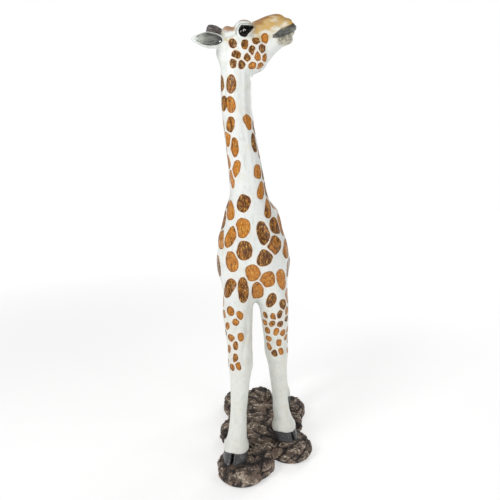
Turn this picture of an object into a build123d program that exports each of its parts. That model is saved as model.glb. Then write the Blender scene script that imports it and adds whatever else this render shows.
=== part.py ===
"""A standing giraffe statue, its head turned to its own left, on a lobed rock plinth.

Millimetres, +Z up. The origin is the middle of the felt under the plinth. The giraffe faces -Y, so its
left side is +X. Its blocks are carved apart, doweled and glued, and four threaded studs hold the feet to
the plinth.
"""

import math
import os

from build123d import *

os.makedirs("parts", exist_ok=True)

# ---- Driving dimensions --------------------------------------------------------------------------

# Heights above the ground
FELT = 3
HOOF_SEAT = 62
CORONET = 108
LEG_JOINT = 560
HEAD_JOINT = 1296

# Centre planes of the body and of the turned head
BODY_X = -38
HEAD_Y = -150

# Joinery
GLUE_GAP = 0.1
LEG_DOWEL_RADIUS, LEG_DOWEL_LENGTH = 14, 130
NECK_DOWEL_RADIUS, NECK_DOWEL_LENGTH = 18, 170
HEAD_DOWEL_RADIUS, HEAD_DOWEL_LENGTH = 13, 120
PEG_RADIUS, PEG_LENGTH = 6, 18
DOWEL_CHAMFER = 1.5
OVERDRILL = 1

# Studs, nuts and washers of size M10
STUD_RADIUS, STUD_BOTTOM, STUD_TOP = 5, 13, 205
STUD_GAP = 0.5
STUD_CHAMFER = 1
NUT_ACROSS_FLATS, NUT_HEIGHT = 16, 8
WASHER_RADIUS, WASHER_THICKNESS = 12, 2
POCKET_RADIUS, POCKET_TOP = 15, 28

# Rock plinth: each lobe is (x, y, radius, top height)
ROCK_LOBES = [
    (-70, -222, 82, 62),  # under the right fore hoof
    (-32, -200, 68, 58),
    (95, -95, 77, 62),  # under the left fore hoof
    (-88, -20, 72, 68),
    (-22, -100, 84, 64),
    (0, 60, 112, 66),
    (-102, 72, 38, 60),
    (108, 60, 44, 62),
    (92, 172, 77, 62),  # under the left hind hoof
    (-88, 190, 78, 70),
    (-98, 238, 70, 62),  # under the right hind hoof
    (-18, 245, 58, 74),
]
ROCK_FLOOR_INSET, ROCK_TOP_INSET, ROCK_BULGE_SHARE = 6, 16, 0.42
FELT_INSET = 14
SEAT_RADIUS = 60

# Centre lines of the limbs, from inside the trunk down to the coronet, and the turn of each toe in degrees
LIMB_LINES = {
    "front_right": [(-62, -112, 800), (-86, -162, 560), (-74, -203, 388), (-84, -214, 165), (-90, -211, 108)],
    "front_left": [(14, -98, 800), (35, -118, 560), (45, -92, 388), (64, -77, 165), (75, -75, 108)],
    "rear_right": [(-68, 150, 800), (-92, 192, 560), (-99, 262, 395), (-103, 252, 165), (-103, 250, 108)],
    "rear_left": [(10, 138, 800), (45, 150, 560), (65, 206, 395), (70, 182, 165), (72, 180, 108)],
}
TOE_TURN = {"front_right": -12, "front_left": 38, "rear_right": -6, "rear_left": 10}

# Girths of the limbs: (height, half width, half depth)
FORE_GIRTHS = [
    (800, 20, 34),
    (720, 40, 54),
    (640, 52, 64),
    (560, 50, 60),
    (500, 45, 52),
    (440, 41, 45),
    (388, 41, 43),  # knee
    (340, 33, 34),
    (280, 29, 30),
    (220, 27, 28),
    (165, 30, 32),  # fetlock
    (130, 33, 35),
    (108, 38, 40),
]
HIND_GIRTHS = [
    (800, 20, 40),
    (720, 46, 62),
    (640, 54, 72),
    (560, 46, 66),
    (500, 38, 54),
    (440, 31, 43),
    (395, 28, 37),  # hock
    (340, 24, 29),
    (280, 23, 26),
    (220, 24, 26),
    (165, 27, 30),  # fetlock
    (130, 29, 31),
    (108, 33, 36),
]
# Half width and half depth of a hoof at its coronet and at its sole
FORE_HOOF, HIND_HOOF = ((37, 39), (44, 50)), ((33, 36), (38, 46))
HOOF_REACH, SOLE_FILLET = 12, 3
CLEFT_WIDTH, CLEFT_DEPTH = 5, 14

# Trunk stations: (y, lowest height, highest height, half width)
TRUNK = [
    (-208, 700, 830, 44),
    (-185, 640, 900, 76),
    (-140, 592, 950, 98),
    (-80, 577, 982, 108),
    (0, 572, 984, 122),
    (70, 578, 962, 127),
    (150, 594, 912, 125),
    (205, 628, 866, 102),
    (238, 690, 822, 56),
]
# One side of the trunk's egg-shaped section, as (share of the half width, share of the height)
TRUNK_SIDE = [(0.62, 0.025), (1.0, 0.24), (0.84, 0.5), (0.5, 0.76), (0.25, 0.95)]

# Neck stations: (height, x, y, half width, half depth)
NECK = [
    (790, -44, -108, 100, 98),
    (860, -46, -114, 80, 96),
    (953, -52, -125, 57, 84),
    (1047, -65, -138, 52, 70),
    (1139, -79, -147, 48, 62),
    (1214, -88, -150, 46, 57),
    (1296, -88, -150, 47, 55),
    (1345, -92, -150, 46, 52),
]
# The glued joint at the foot of the neck slopes down towards the chest
NECK_JOINT = Plane(origin=(-52, -120, 930), x_dir=(1, 0, 0), z_dir=(0, -0.54, 0.84))

# Head stations along X, from the poll to the lips: (x, lowest height, highest height, half width)
HEAD = [
    (-146, 1352, 1388, 20),
    (-128, 1335, 1412, 36),
    (-100, 1318, 1426, 46),
    (-64, 1306, 1440, 50),
    (-30, 1305, 1454, 45),
    (0, 1322, 1469, 37),
    (26, 1362, 1473, 32),
    (52, 1387, 1465, 30),
    (74, 1400, 1452, 27),
    (88, 1415, 1441, 15),
]
ORBIT_CENTRE, ORBIT_RADIUS = (-63, -180, 1424), 27
EYE = Plane(origin=(-62, -202, 1416), x_dir=(1, 0.1, 0), z_dir=(0.1, -0.99, 0.05))
EYE_RADIUS, EYE_RISE, EYE_STEM = 15, 8, 10

# The right ear lies back along the head, and the left one is turned up and outwards
RIGHT_EAR = Plane(origin=(-126, -187, 1390), x_dir=(0.25, -0.957, 0.14), z_dir=(-0.96, -0.26, 0.05))
LEFT_EAR = Plane(origin=(-124, -112, 1391), x_dir=(0.55, 0.06, 0.8), z_dir=(-0.64, 0.66, 0.39))
EAR_LENGTH, EAR_RADIUS, EAR_WALL, EAR_SCOOP_SHIFT = 94, 20, 4, 9
EAR_ROOT_SHARE, EAR_WIDEST_SHARE = 0.5, 0.55

OSSICONE = Plane(origin=(-98, -170, 1404), x_dir=(0, 1, 0), z_dir=(-0.96, 0, 0.27))
OSSICONE_LENGTH, STALK_RADIUS, WAIST_RADIUS, TIP_RADIUS = 79, 14, 12, 14.5

TAIL_LINE = [(-38, 232, 816), (-38, 266, 800), (-36, 288, 720), (-33, 290, 620), (-31, 286, 520)]
TAIL_GIRTHS = [13, 10, 8, 11, 5]


# ---- Helpers -------------------------------------------------------------------------------------


def on_line(points, height):
    """The (x, y) of a limb's centre line at a height. The line's points run downwards."""
    for (x0, y0, z0), (x1, y1, z1) in zip(points, points[1:]):
        if z1 <= height <= z0:
            share = (z0 - height) / (z0 - z1)
            return x0 + (x1 - x0) * share, y0 + (y1 - y0) * share
    raise ValueError(f"{height} is off the line")


def leg_axis(leg):
    """The x and y of the vertical stud through a hoof: the coronet's centre."""
    return LIMB_LINES[leg][-1][:2]


def hip(leg):
    """The x and y of a limb where its leg meets the torso."""
    return on_line(LIMB_LINES[leg], LEG_JOINT)


def hoof_halves(leg):
    """A hoof's half sizes at its coronet and at its sole."""
    return FORE_HOOF if leg.startswith("front") else HIND_HOOF


def toe_plane(leg, height, forward=0.0):
    """A level plane in a hoof, its -Y pointing at the toe, moved forward along the hoof."""
    x, y = leg_axis(leg)
    turn = math.radians(TOE_TURN[leg])
    ahead = (math.sin(turn), -math.cos(turn), 0)
    return Plane(
        origin=(x + ahead[0] * forward, y + ahead[1] * forward, height),
        x_dir=(math.cos(turn), math.sin(turn), 0),
        z_dir=(0, 0, 1),
    )


def trunk_outline(bottom, top, half_width):
    """The points of one trunk section, in the section's own plane, starting underneath."""
    height = top - bottom
    side = [(half_width * w, bottom + height * h) for w, h in TRUNK_SIDE]
    return [(0, bottom), *side, (0, top), *[(-w, h) for w, h in reversed(side)]]


def drill(plane, radius, depth):
    """The round slug that a blind hole behind a plane takes away, with all that stands before the plane."""
    with BuildPart(mode=Mode.PRIVATE) as slug:
        with BuildSketch(plane.offset(2 * PEG_LENGTH)):
            Circle(radius)
        extrude(amount=-depth - 2 * PEG_LENGTH)
    return slug.part


def save(builder, name):
    """Labels a finished piece and writes it as one STEP file."""
    builder.part.label = name
    export_step(builder.part, f"parts/{name}.step")


# ---- Plinth --------------------------------------------------------------------------------------


def make_felt():
    """One sheet of felt over the whole underside."""
    with BuildPart() as felt:
        with BuildSketch():
            for x, y, radius, _ in ROCK_LOBES:
                with Locations((x, y)):
                    Circle(radius - FELT_INSET)
        extrude(amount=FELT)
    return felt


def make_plinth():
    """Bulging rock lobes with a flat seat for each hoof and a nut pocket under each seat."""
    with BuildPart() as plinth:
        for x, y, radius, top in ROCK_LOBES:
            with BuildSketch(Plane(origin=(x, y, 0), x_dir=(1, 0, 0), z_dir=(0, -1, 0))):
                with BuildLine():
                    foot, crown = (radius - ROCK_FLOOR_INSET, FELT), (radius - ROCK_TOP_INSET, top)
                    ThreePointArc(foot, (radius, top * ROCK_BULGE_SHARE), crown)
                    Polyline(crown, (0, top), (0, FELT), foot)
                make_face()
            revolve(axis=Axis((x, y, 0), (0, 0, 1)))
        for leg in LIMB_LINES:
            with BuildSketch(toe_plane(leg, HOOF_SEAT, HOOF_REACH)):
                Circle(SEAT_RADIUS)
            extrude(amount=HOOF_SEAT, mode=Mode.SUBTRACT)
            with Locations((*leg_axis(leg), HOOF_SEAT)):
                Hole(STUD_RADIUS + STUD_GAP)
            with BuildSketch(Plane.XY.offset(FELT)):
                with Locations(leg_axis(leg)):
                    Circle(POCKET_RADIUS)
            extrude(amount=POCKET_TOP - FELT, mode=Mode.SUBTRACT)
    return plinth


# ---- Legs ----------------------------------------------------------------------------------------


def make_hoof(leg):
    """A hoof that flares towards its sole, with the cleft between its two toes."""
    coronet, sole = hoof_halves(leg)
    with BuildPart() as hoof:
        with BuildSketch(toe_plane(leg, CORONET)):
            Ellipse(*coronet)
        with BuildSketch(toe_plane(leg, HOOF_SEAT, HOOF_REACH)):
            Ellipse(*sole)
        loft()
        fillet(hoof.faces().sort_by(Axis.Z)[0].edges(), SOLE_FILLET)
        with BuildSketch(toe_plane(leg, HOOF_SEAT, HOOF_REACH + sole[1])):
            Rectangle(CLEFT_WIDTH, 2 * CLEFT_DEPTH)
        extrude(amount=CORONET - HOOF_SEAT, mode=Mode.SUBTRACT)
        with Locations((*leg_axis(leg), CORONET)):
            Hole(STUD_RADIUS + GLUE_GAP)
    return hoof


def limb_column(leg):
    """A whole limb, from its coronet up into the trunk."""
    girths = FORE_GIRTHS if leg.startswith("front") else HIND_GIRTHS
    with BuildPart() as column:
        for height, half_width, half_depth in girths:
            x, y = on_line(LIMB_LINES[leg], height)
            with BuildSketch(Plane(origin=(x, y, height))):
                Ellipse(half_width, half_depth)
        loft()
    return column.part


def make_leg(leg):
    """A leg from the coronet to the torso, drilled for its stud below and its dowel above."""
    with BuildPart() as limb:
        add(limb_column(leg))
        split(bisect_by=Plane.XY.offset(LEG_JOINT), keep=Keep.BOTTOM)
        with BuildSketch(Plane.XY.offset(CORONET)):
            with Locations(leg_axis(leg)):
                Circle(STUD_RADIUS + GLUE_GAP)
        extrude(amount=STUD_TOP + OVERDRILL - CORONET, mode=Mode.SUBTRACT)
        with BuildSketch(Plane.XY.offset(LEG_JOINT)):
            with Locations(hip(leg)):
                Circle(LEG_DOWEL_RADIUS + GLUE_GAP)
        extrude(amount=-(LEG_DOWEL_LENGTH / 2 + OVERDRILL), mode=Mode.SUBTRACT)
    return limb


# ---- Trunk and neck ------------------------------------------------------------------------------


def neck_column():
    """The whole neck, from inside the chest up into the head."""
    with BuildPart() as column:
        for height, x, y, half_width, half_depth in NECK:
            with BuildSketch(Plane(origin=(x, y, height))):
                Ellipse(half_width, half_depth)
        loft()
    return column.part


def make_torso():
    """Trunk, neck root, shoulders and thighs, carved as one block and drilled for six dowels."""
    with BuildPart() as torso:
        for y, bottom, top, half_width in TRUNK:
            with BuildSketch(Plane(origin=(BODY_X, y, 0), x_dir=(1, 0, 0), z_dir=(0, -1, 0))):
                with BuildLine():
                    Spline(*trunk_outline(bottom, top, half_width), periodic=True)
                make_face()
        loft()
        for leg in LIMB_LINES:
            add(limb_column(leg))
        split(bisect_by=Plane.XY.offset(LEG_JOINT), keep=Keep.TOP)
        add(neck_column())
        split(bisect_by=NECK_JOINT, keep=Keep.BOTTOM)
        for leg in LIMB_LINES:
            with BuildSketch(Plane.XY.offset(LEG_JOINT)):
                with Locations(hip(leg)):
                    Circle(LEG_DOWEL_RADIUS + GLUE_GAP)
            extrude(amount=LEG_DOWEL_LENGTH / 2 + OVERDRILL, mode=Mode.SUBTRACT)
        with BuildSketch(NECK_JOINT):
            Circle(NECK_DOWEL_RADIUS + GLUE_GAP)
        extrude(amount=-(NECK_DOWEL_LENGTH / 2 + OVERDRILL), mode=Mode.SUBTRACT)
        add(drill(tail_root(), PEG_RADIUS + GLUE_GAP, PEG_LENGTH + OVERDRILL), mode=Mode.SUBTRACT)
    return torso


def make_neck():
    """The neck block, between the sloping joint on the torso and the level one under the jaw."""
    with BuildPart() as neck:
        add(neck_column())
        split(bisect_by=NECK_JOINT, keep=Keep.TOP)
        split(bisect_by=Plane.XY.offset(HEAD_JOINT), keep=Keep.BOTTOM)
        with BuildSketch(NECK_JOINT):
            Circle(NECK_DOWEL_RADIUS + GLUE_GAP)
        extrude(amount=NECK_DOWEL_LENGTH / 2 + OVERDRILL, mode=Mode.SUBTRACT)
        with BuildSketch(Plane.XY.offset(HEAD_JOINT)):
            with Locations(head_dowel_centre()):
                Circle(HEAD_DOWEL_RADIUS + GLUE_GAP)
        extrude(amount=-(HEAD_DOWEL_LENGTH / 2 + OVERDRILL), mode=Mode.SUBTRACT)
    return neck


def head_dowel_centre():
    """The x and y of the dowel between the neck and the head."""
    return NECK[-2][1], NECK[-2][2]


# ---- Head ----------------------------------------------------------------------------------------


def across_head(plane):
    """The same plane on the other side of the head."""
    origin, x_dir, z_dir = plane.origin, plane.x_dir, plane.z_dir
    return Plane(
        origin=(origin.X, 2 * HEAD_Y - origin.Y, origin.Z),
        x_dir=(x_dir.X, -x_dir.Y, x_dir.Z),
        z_dir=(z_dir.X, -z_dir.Y, z_dir.Z),
    )


def make_head():
    """Skull, muzzle and jaw with the top of the neck, drilled for the dowel, eyes, ears and ossicones."""
    with BuildPart() as head:
        for x, bottom, top, half_width in HEAD:
            middle = (x, HEAD_Y, (bottom + top) / 2)
            with BuildSketch(Plane(origin=middle, x_dir=(0, 1, 0), z_dir=(1, 0, 0))):
                Ellipse(half_width, (top - bottom) / 2)
        loft()
        add(neck_column())
        split(bisect_by=Plane.XY.offset(HEAD_JOINT), keep=Keep.TOP)
        for plane in (Plane(ORBIT_CENTRE), across_head(Plane(ORBIT_CENTRE))):
            with Locations(plane):
                Sphere(ORBIT_RADIUS)
        with BuildSketch(Plane.XY.offset(HEAD_JOINT)):
            with Locations(head_dowel_centre()):
                Circle(HEAD_DOWEL_RADIUS + GLUE_GAP)
        extrude(amount=HEAD_DOWEL_LENGTH / 2 + OVERDRILL, mode=Mode.SUBTRACT)
        for plane in (EYE, across_head(EYE)):
            add(drill(plane, EYE_RADIUS + GLUE_GAP, EYE_STEM + OVERDRILL), mode=Mode.SUBTRACT)
        for plane in (RIGHT_EAR, LEFT_EAR, OSSICONE, across_head(OSSICONE)):
            add(drill(plane, PEG_RADIUS + GLUE_GAP, PEG_LENGTH + OVERDRILL), mode=Mode.SUBTRACT)
    return head


def profile_plane(plane):
    """The plane through an axis in which a turned shape's outline is drawn, its Y along the axis."""
    return Plane(origin=plane.origin, x_dir=plane.x_dir, z_dir=-plane.y_dir)


def make_eye(plane):
    """A glass eye: a round stem with a domed front."""
    with BuildPart() as eye:
        with BuildSketch(profile_plane(plane)):
            with BuildLine():
                rim = (EYE_RADIUS, 0)
                ThreePointArc((0, EYE_RISE), (EYE_RADIUS * 0.72, EYE_RISE * 0.56), rim)
                Polyline(rim, (EYE_RADIUS, -EYE_STEM), (0, -EYE_STEM), (0, EYE_RISE))
            make_face()
        revolve(axis=Axis(plane.origin, plane.z_dir))
    return eye


def ear_spindle(plane, radius, length):
    """A spindle round the ear's axis, widest a little past half way."""
    root, widest, tip = (radius * EAR_ROOT_SHARE, 0), (radius, length * EAR_WIDEST_SHARE), (0, length)
    with BuildSketch(profile_plane(plane), mode=Mode.PRIVATE) as half:
        with BuildLine():
            Spline(root, widest, tip, tangents=[(0.5, 1), (-1, 0.1)])
            Polyline(tip, (0, 0), root)
        make_face()
    return revolve(half.sketch, axis=Axis(plane.origin, plane.z_dir), mode=Mode.PRIVATE)


def make_ear(plane, head):
    """A leaf-shaped ear, scooped out on the side that faces outwards, with its peg."""
    scoop_plane = plane.offset(EAR_WALL * 2)
    scoop_plane.origin = scoop_plane.origin + plane.x_dir * EAR_SCOOP_SHIFT
    with BuildPart() as ear:
        add(ear_spindle(plane, EAR_RADIUS, EAR_LENGTH))
        add(
            ear_spindle(scoop_plane, EAR_RADIUS - EAR_WALL, EAR_LENGTH - 4 * EAR_WALL),
            mode=Mode.SUBTRACT,
        )
        add(head.part, mode=Mode.SUBTRACT)
        with BuildSketch(plane.offset(EAR_WALL * 2)):
            Circle(PEG_RADIUS)
        extrude(amount=-(PEG_LENGTH + EAR_WALL * 2))
    return ear


def make_ossicone(plane, head):
    """A short blunt horn with a swollen tuft at its end, and its peg."""
    with BuildPart() as ossicone:
        with BuildSketch(profile_plane(plane)):
            with BuildLine():
                foot, tip = (STALK_RADIUS, 0), (0, OSSICONE_LENGTH)
                waist, tuft = (WAIST_RADIUS, OSSICONE_LENGTH * 0.5), (TIP_RADIUS, OSSICONE_LENGTH * 0.85)
                Spline(foot, waist, tuft, tip)
                Polyline(tip, (0, 0), foot)
            make_face()
        revolve(axis=Axis(plane.origin, plane.z_dir))
        add(head.part, mode=Mode.SUBTRACT)
        with BuildSketch(plane.offset(OSSICONE_LENGTH / 2)):
            Circle(PEG_RADIUS)
        extrude(amount=-(PEG_LENGTH + OSSICONE_LENGTH / 2))
    return ossicone


# ---- Tail ----------------------------------------------------------------------------------------


def tail_root():
    """The plane of the tail's joint, facing backwards out of the rump."""
    return Plane(origin=TAIL_LINE[0], x_dir=(1, 0, 0), z_dir=(0, 0.94, -0.34))


def make_tail(torso):
    """A hanging tail that swells into its tuft, and its peg."""
    with BuildPart() as tail:
        with BuildLine(mode=Mode.PRIVATE) as line:
            Spline(*TAIL_LINE)
        path = line.line
        last = len(TAIL_GIRTHS) - 1
        for step, girth in enumerate(TAIL_GIRTHS):
            share = step / last
            with BuildSketch(Plane(origin=path @ share, z_dir=path % share, x_dir=(1, 0, 0))):
                Circle(girth)
        loft()
        add(torso.part, mode=Mode.SUBTRACT)
        with BuildSketch(tail_root().offset(PEG_LENGTH / 2)):
            Circle(PEG_RADIUS)
        extrude(amount=-1.5 * PEG_LENGTH)
    return tail


# ---- Dowels and fasteners ------------------------------------------------------------------------


def make_rod(plane, radius, length):
    """A dowel centred on a plane, with chamfered ends."""
    with BuildPart() as rod:
        with Locations(plane):
            Cylinder(radius, length)
        chamfer(rod.edges().filter_by(GeomType.CIRCLE), DOWEL_CHAMFER)
    return rod


def make_leg_dowels():
    with BuildPart() as dowels:
        with Locations([(*hip(leg), LEG_JOINT) for leg in LIMB_LINES]):
            Cylinder(LEG_DOWEL_RADIUS, LEG_DOWEL_LENGTH)
        chamfer(dowels.edges().filter_by(GeomType.CIRCLE), DOWEL_CHAMFER)
    return dowels


def at_feet(height):
    return [(*leg_axis(leg), height) for leg in LIMB_LINES]


def make_studs():
    upwards = (Align.CENTER, Align.CENTER, Align.MIN)
    with BuildPart() as studs:
        with Locations(at_feet(STUD_BOTTOM)):
            Cylinder(STUD_RADIUS, STUD_TOP - STUD_BOTTOM, align=upwards)
        chamfer(studs.edges().filter_by(GeomType.CIRCLE), STUD_CHAMFER)
    return studs


def make_washers():
    with BuildPart() as washers:
        with BuildSketch(Plane.XY.offset(POCKET_TOP)):
            with Locations([leg_axis(leg) for leg in LIMB_LINES]):
                Circle(WASHER_RADIUS)
                Circle(STUD_RADIUS + STUD_GAP, mode=Mode.SUBTRACT)
        extrude(amount=-WASHER_THICKNESS)
    return washers


def make_nuts():
    with BuildPart() as nuts:
        with BuildSketch(Plane.XY.offset(POCKET_TOP - WASHER_THICKNESS)):
            with Locations([leg_axis(leg) for leg in LIMB_LINES]):
                RegularPolygon(NUT_ACROSS_FLATS / 2, 6, major_radius=False)
                Circle(STUD_RADIUS + GLUE_GAP, mode=Mode.SUBTRACT)
        extrude(amount=-NUT_HEIGHT)
    return nuts


# ---- Build ---------------------------------------------------------------------------------------

save(make_felt(), "felt_sheet")
save(make_plinth(), "rock_plinth")
for leg in LIMB_LINES:
    save(make_hoof(leg), f"{leg}_hoof")
    save(make_leg(leg), f"{leg}_leg")

torso = make_torso()
head = make_head()
save(torso, "torso")
save(make_neck(), "neck")
save(head, "head")
save(make_tail(torso), "tail")

save(make_eye(EYE), "right_eye")
save(make_eye(across_head(EYE)), "left_eye")
save(make_ear(RIGHT_EAR, head), "right_ear")
save(make_ear(LEFT_EAR, head), "left_ear")
save(make_ossicone(OSSICONE, head), "right_ossicone")
save(make_ossicone(across_head(OSSICONE), head), "left_ossicone")

save(make_rod(NECK_JOINT, NECK_DOWEL_RADIUS, NECK_DOWEL_LENGTH), "neck_dowel")
head_dowel_plane = Plane(origin=(*head_dowel_centre(), HEAD_JOINT))
save(make_rod(head_dowel_plane, HEAD_DOWEL_RADIUS, HEAD_DOWEL_LENGTH), "head_dowel")
save(make_leg_dowels(), "leg_dowels")
save(make_studs(), "hoof_studs")
save(make_washers(), "stud_washers")
save(make_nuts(), "stud_nuts")
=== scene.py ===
"""The carved giraffe statue: sculpted skins, painted patches and rock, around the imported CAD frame.

A skin is a distance field in millimetres, negative inside. Its zero surface is meshed, cut where the wooden
blocks meet, and given its paint as values at its vertices, which the materials turn into colour, relief and
gloss.
"""

import math
from functools import partial

import bmesh
import bpy
import numpy as np
from mathutils import Euler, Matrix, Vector


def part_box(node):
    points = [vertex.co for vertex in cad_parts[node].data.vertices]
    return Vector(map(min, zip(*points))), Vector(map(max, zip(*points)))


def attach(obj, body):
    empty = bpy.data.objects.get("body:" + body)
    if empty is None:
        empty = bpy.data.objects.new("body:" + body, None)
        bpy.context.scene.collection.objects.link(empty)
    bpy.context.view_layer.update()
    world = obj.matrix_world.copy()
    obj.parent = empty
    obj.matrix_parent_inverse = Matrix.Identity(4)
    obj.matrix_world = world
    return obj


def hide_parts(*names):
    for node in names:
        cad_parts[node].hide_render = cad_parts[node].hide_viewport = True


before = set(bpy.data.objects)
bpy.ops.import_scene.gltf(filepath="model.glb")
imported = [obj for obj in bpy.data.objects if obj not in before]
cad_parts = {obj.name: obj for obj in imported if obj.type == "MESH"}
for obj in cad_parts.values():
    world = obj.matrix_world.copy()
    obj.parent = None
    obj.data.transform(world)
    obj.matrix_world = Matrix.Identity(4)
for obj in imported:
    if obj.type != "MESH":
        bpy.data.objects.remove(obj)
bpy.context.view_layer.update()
MM = 0.001
ROOT = "root"
LEGS = ("front_right", "front_left", "rear_right", "rear_left")

# ---- The frame, measured ---------------------------------------------------------------------------------


def node_box(node):
    """The lowest and highest corners of a CAD node, in millimetres."""
    low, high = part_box(node)
    return np.array(low) / MM, np.array(high) / MM


def node_mesh(node):
    """The corners and edges of a CAD node's mesh, in millimetres."""
    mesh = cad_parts[node].data
    corners = np.zeros(len(mesh.vertices) * 3)
    mesh.vertices.foreach_get("co", corners)
    edges = np.zeros(len(mesh.edges) * 2, dtype=np.int64)
    mesh.edges.foreach_get("vertices", edges)
    return corners.reshape(-1, 3) / MM, edges.reshape(-1, 2)


def crossings(mesh, axis, at):
    """The points where a mesh's edges cross the plane at one value of an axis."""
    corners, edges = mesh
    start, end = corners[edges[:, 0]], corners[edges[:, 1]]
    before, after = start[:, axis] - at, end[:, axis] - at
    hit = (before < 0) != (after < 0)
    share = before[hit] / (before[hit] - after[hit])
    return start[hit] + (end[hit] - start[hit]) * share[:, None]


def ring(mesh, height):
    """(height, middle x, middle y, half width, half depth) of a mesh's level section."""
    points = crossings(mesh, 2, height)
    low, high = points.min(0), points.max(0)
    middle, half = (low + high) / 2, (high - low) / 2
    return (height, middle[0], middle[1], half[0], half[1])


LEG_JOINT = node_box("torso")[0][2]
HEAD_JOINT = node_box("neck")[1][2]
BODY_X = sum(corner[0] for corner in node_box("torso")) / 2
HEAD_Y = sum(corner[1] for corner in node_box("head")) / 2
HOOF_SEAT = node_box("front_right_hoof")[0][2]
CORONET = node_box("front_right_hoof")[1][2]


def dowel_plane(node):
    """The middle of a dowel and the direction along it: the joint that it crosses is square to it."""
    corners, _ = node_mesh(node)
    middle = (corners.min(0) + corners.max(0)) / 2
    along = np.linalg.svd(corners - middle, full_matrices=False)[2][0]
    return middle, along * np.sign(along[2])


# ---- Distance fields -------------------------------------------------------------------------------------


def blend_in(a, b, reach):
    """The union of two fields, with a fillet about as wide as the reach."""
    share = np.clip(0.5 + 0.5 * (b - a) / reach, 0, 1)
    return b + (a - b) * share - reach * share * (1 - share)


def keep(field, beyond, reach):
    """Only the part of a field where another one is negative, with the edge softened."""
    return -blend_in(-field, -beyond, reach)


def carve(field, tool, reach):
    """A field with another one cut away, and the edge softened."""
    return keep(field, -tool, reach)


def ellipsoid(p, centre, radii, frame_axes=None):
    """An ellipsoid; frame_axes has its own three directions as rows."""
    q = p - np.asarray(centre, float)
    if frame_axes is not None:
        q = q @ np.asarray(frame_axes).T
    radii = np.asarray(radii, float)
    scaled = np.linalg.norm(q / radii, axis=1)
    steep = np.linalg.norm(q / radii**2, axis=1)
    return scaled * (scaled - 1) / np.maximum(steep, 1e-6)


def bone(p, start, end, start_radius, end_radius):
    """A straight rod whose radius changes evenly, with round ends."""
    start, end = np.asarray(start, float), np.asarray(end, float)
    along = end - start
    share = np.clip((p - start) @ along / (along @ along), 0, 1)
    return np.linalg.norm(p - start - share[:, None] * along, axis=1) - (
        start_radius + (end_radius - start_radius) * share
    )


def chain(p, joints, reach):
    """Bones from joint to joint, each joint being (x, y, z, radius)."""
    field = None
    for (*start, start_radius), (*end, end_radius) in zip(joints, joints[1:]):
        link = bone(p, start, end, start_radius, end_radius)
        field = link if field is None else blend_in(field, link, reach)
    return field


class Column:
    """A run of sections along one axis, each with two middles and any number of sizes, joined smoothly."""

    def __init__(self, stations, soften=14.0, step=2.0):
        table = np.array(sorted(stations), float)
        self.at = np.arange(table[0, 0], table[-1, 0] + step, step)
        kernel = np.hanning(max(3, int(2 * soften / step) | 1) + 2)[1:-1]
        kernel /= kernel.sum()
        pad = len(kernel) // 2
        self.values = []
        for column in table.T[1:]:
            line = np.interp(self.at, table[:, 0], column)
            low = 2 * line[0] - line[pad:0:-1]
            high = 2 * line[-1] - line[-2 : -pad - 2 : -1]
            self.values.append(np.convolve(np.concatenate([low, line, high]), kernel, "valid"))

    def __call__(self, where):
        return [np.interp(where, self.at, value) for value in self.values]

    def ends(self, where):
        """How far each place lies beyond the first or last section."""
        return np.maximum(self.at[0] - where, where - self.at[-1])


def section_field(across, rise, half_across, half_rise, power=2.0):
    """The distance outside a rounded section: power 2 is an ellipse, less is leaner and more is fuller."""
    radius = np.sqrt(across**2 + rise**2)
    scaled = (np.abs(across / half_across) ** power + np.abs(rise / half_rise) ** power) ** (1 / power)
    return radius - radius / np.maximum(scaled, 1e-6)


LATTICE = np.array([(i, j, k) for i in (0, 1) for j in (0, 1) for k in (0, 1)])


def hashed(cells, seed):
    """An even scatter of numbers from 0 to 1, one for each whole-numbered cell."""
    mixed = (cells[:, 0] * 73856093) ^ (cells[:, 1] * 19349663) ^ (cells[:, 2] * 83492791)
    mixed = mixed ^ (seed * 2654435761)
    mixed = (mixed ^ (mixed >> 13)) * 1274126177
    mixed = (mixed ^ (mixed >> 16)) & 0xFFFFFF
    return mixed / float(0xFFFFFF)


def noise(p, scale, seed=0):
    """Smooth noise from -1 to 1, with blotches of the given size."""
    q = p / scale
    cells = np.floor(q).astype(np.int64)
    inner = q - cells
    inner = inner * inner * (3 - 2 * inner)
    total = np.zeros(len(p))
    for corner in LATTICE:
        weight = np.prod(np.where(corner == 1, inner, 1 - inner), axis=1)
        total += weight * hashed(cells + corner, seed)
    return total * 2 - 1


def warp(p, scale, reach, seed=0):
    """The points, each pushed about by smooth noise."""
    return p + reach * np.stack([noise(p, scale, seed + k) for k in range(3)], axis=1)


def pebbles(p, scale, seed=0):
    """Distance to the nearest two of scattered seeds, in shares of the scale, and the nearest's number."""
    q = p / scale
    cells = np.floor(q).astype(np.int64)
    first, second, owner = np.full(len(p), 9.0), np.full(len(p), 9.0), np.zeros(len(p))
    for step in np.ndindex(3, 3, 3):
        near = cells + (np.array(step) - 1)
        place = near + np.stack([hashed(near, seed + 11 + k) for k in range(3)], axis=1)
        gap = np.linalg.norm(q - place, axis=1)
        closer = gap < first
        second = np.where(closer, first, np.minimum(second, gap))
        owner = np.where(closer, hashed(near, seed + 5), owner)
        first = np.where(closer, gap, first)
    return first, second, owner


def smooth_step(low, high, value):
    share = np.clip((value - low) / (high - low), 0, 1)
    return share * share * (3 - 2 * share)


# ---- From field to mesh ----------------------------------------------------------------------------------


GRID_CHUNK = 400000  # how many places are worked out at once


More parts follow.
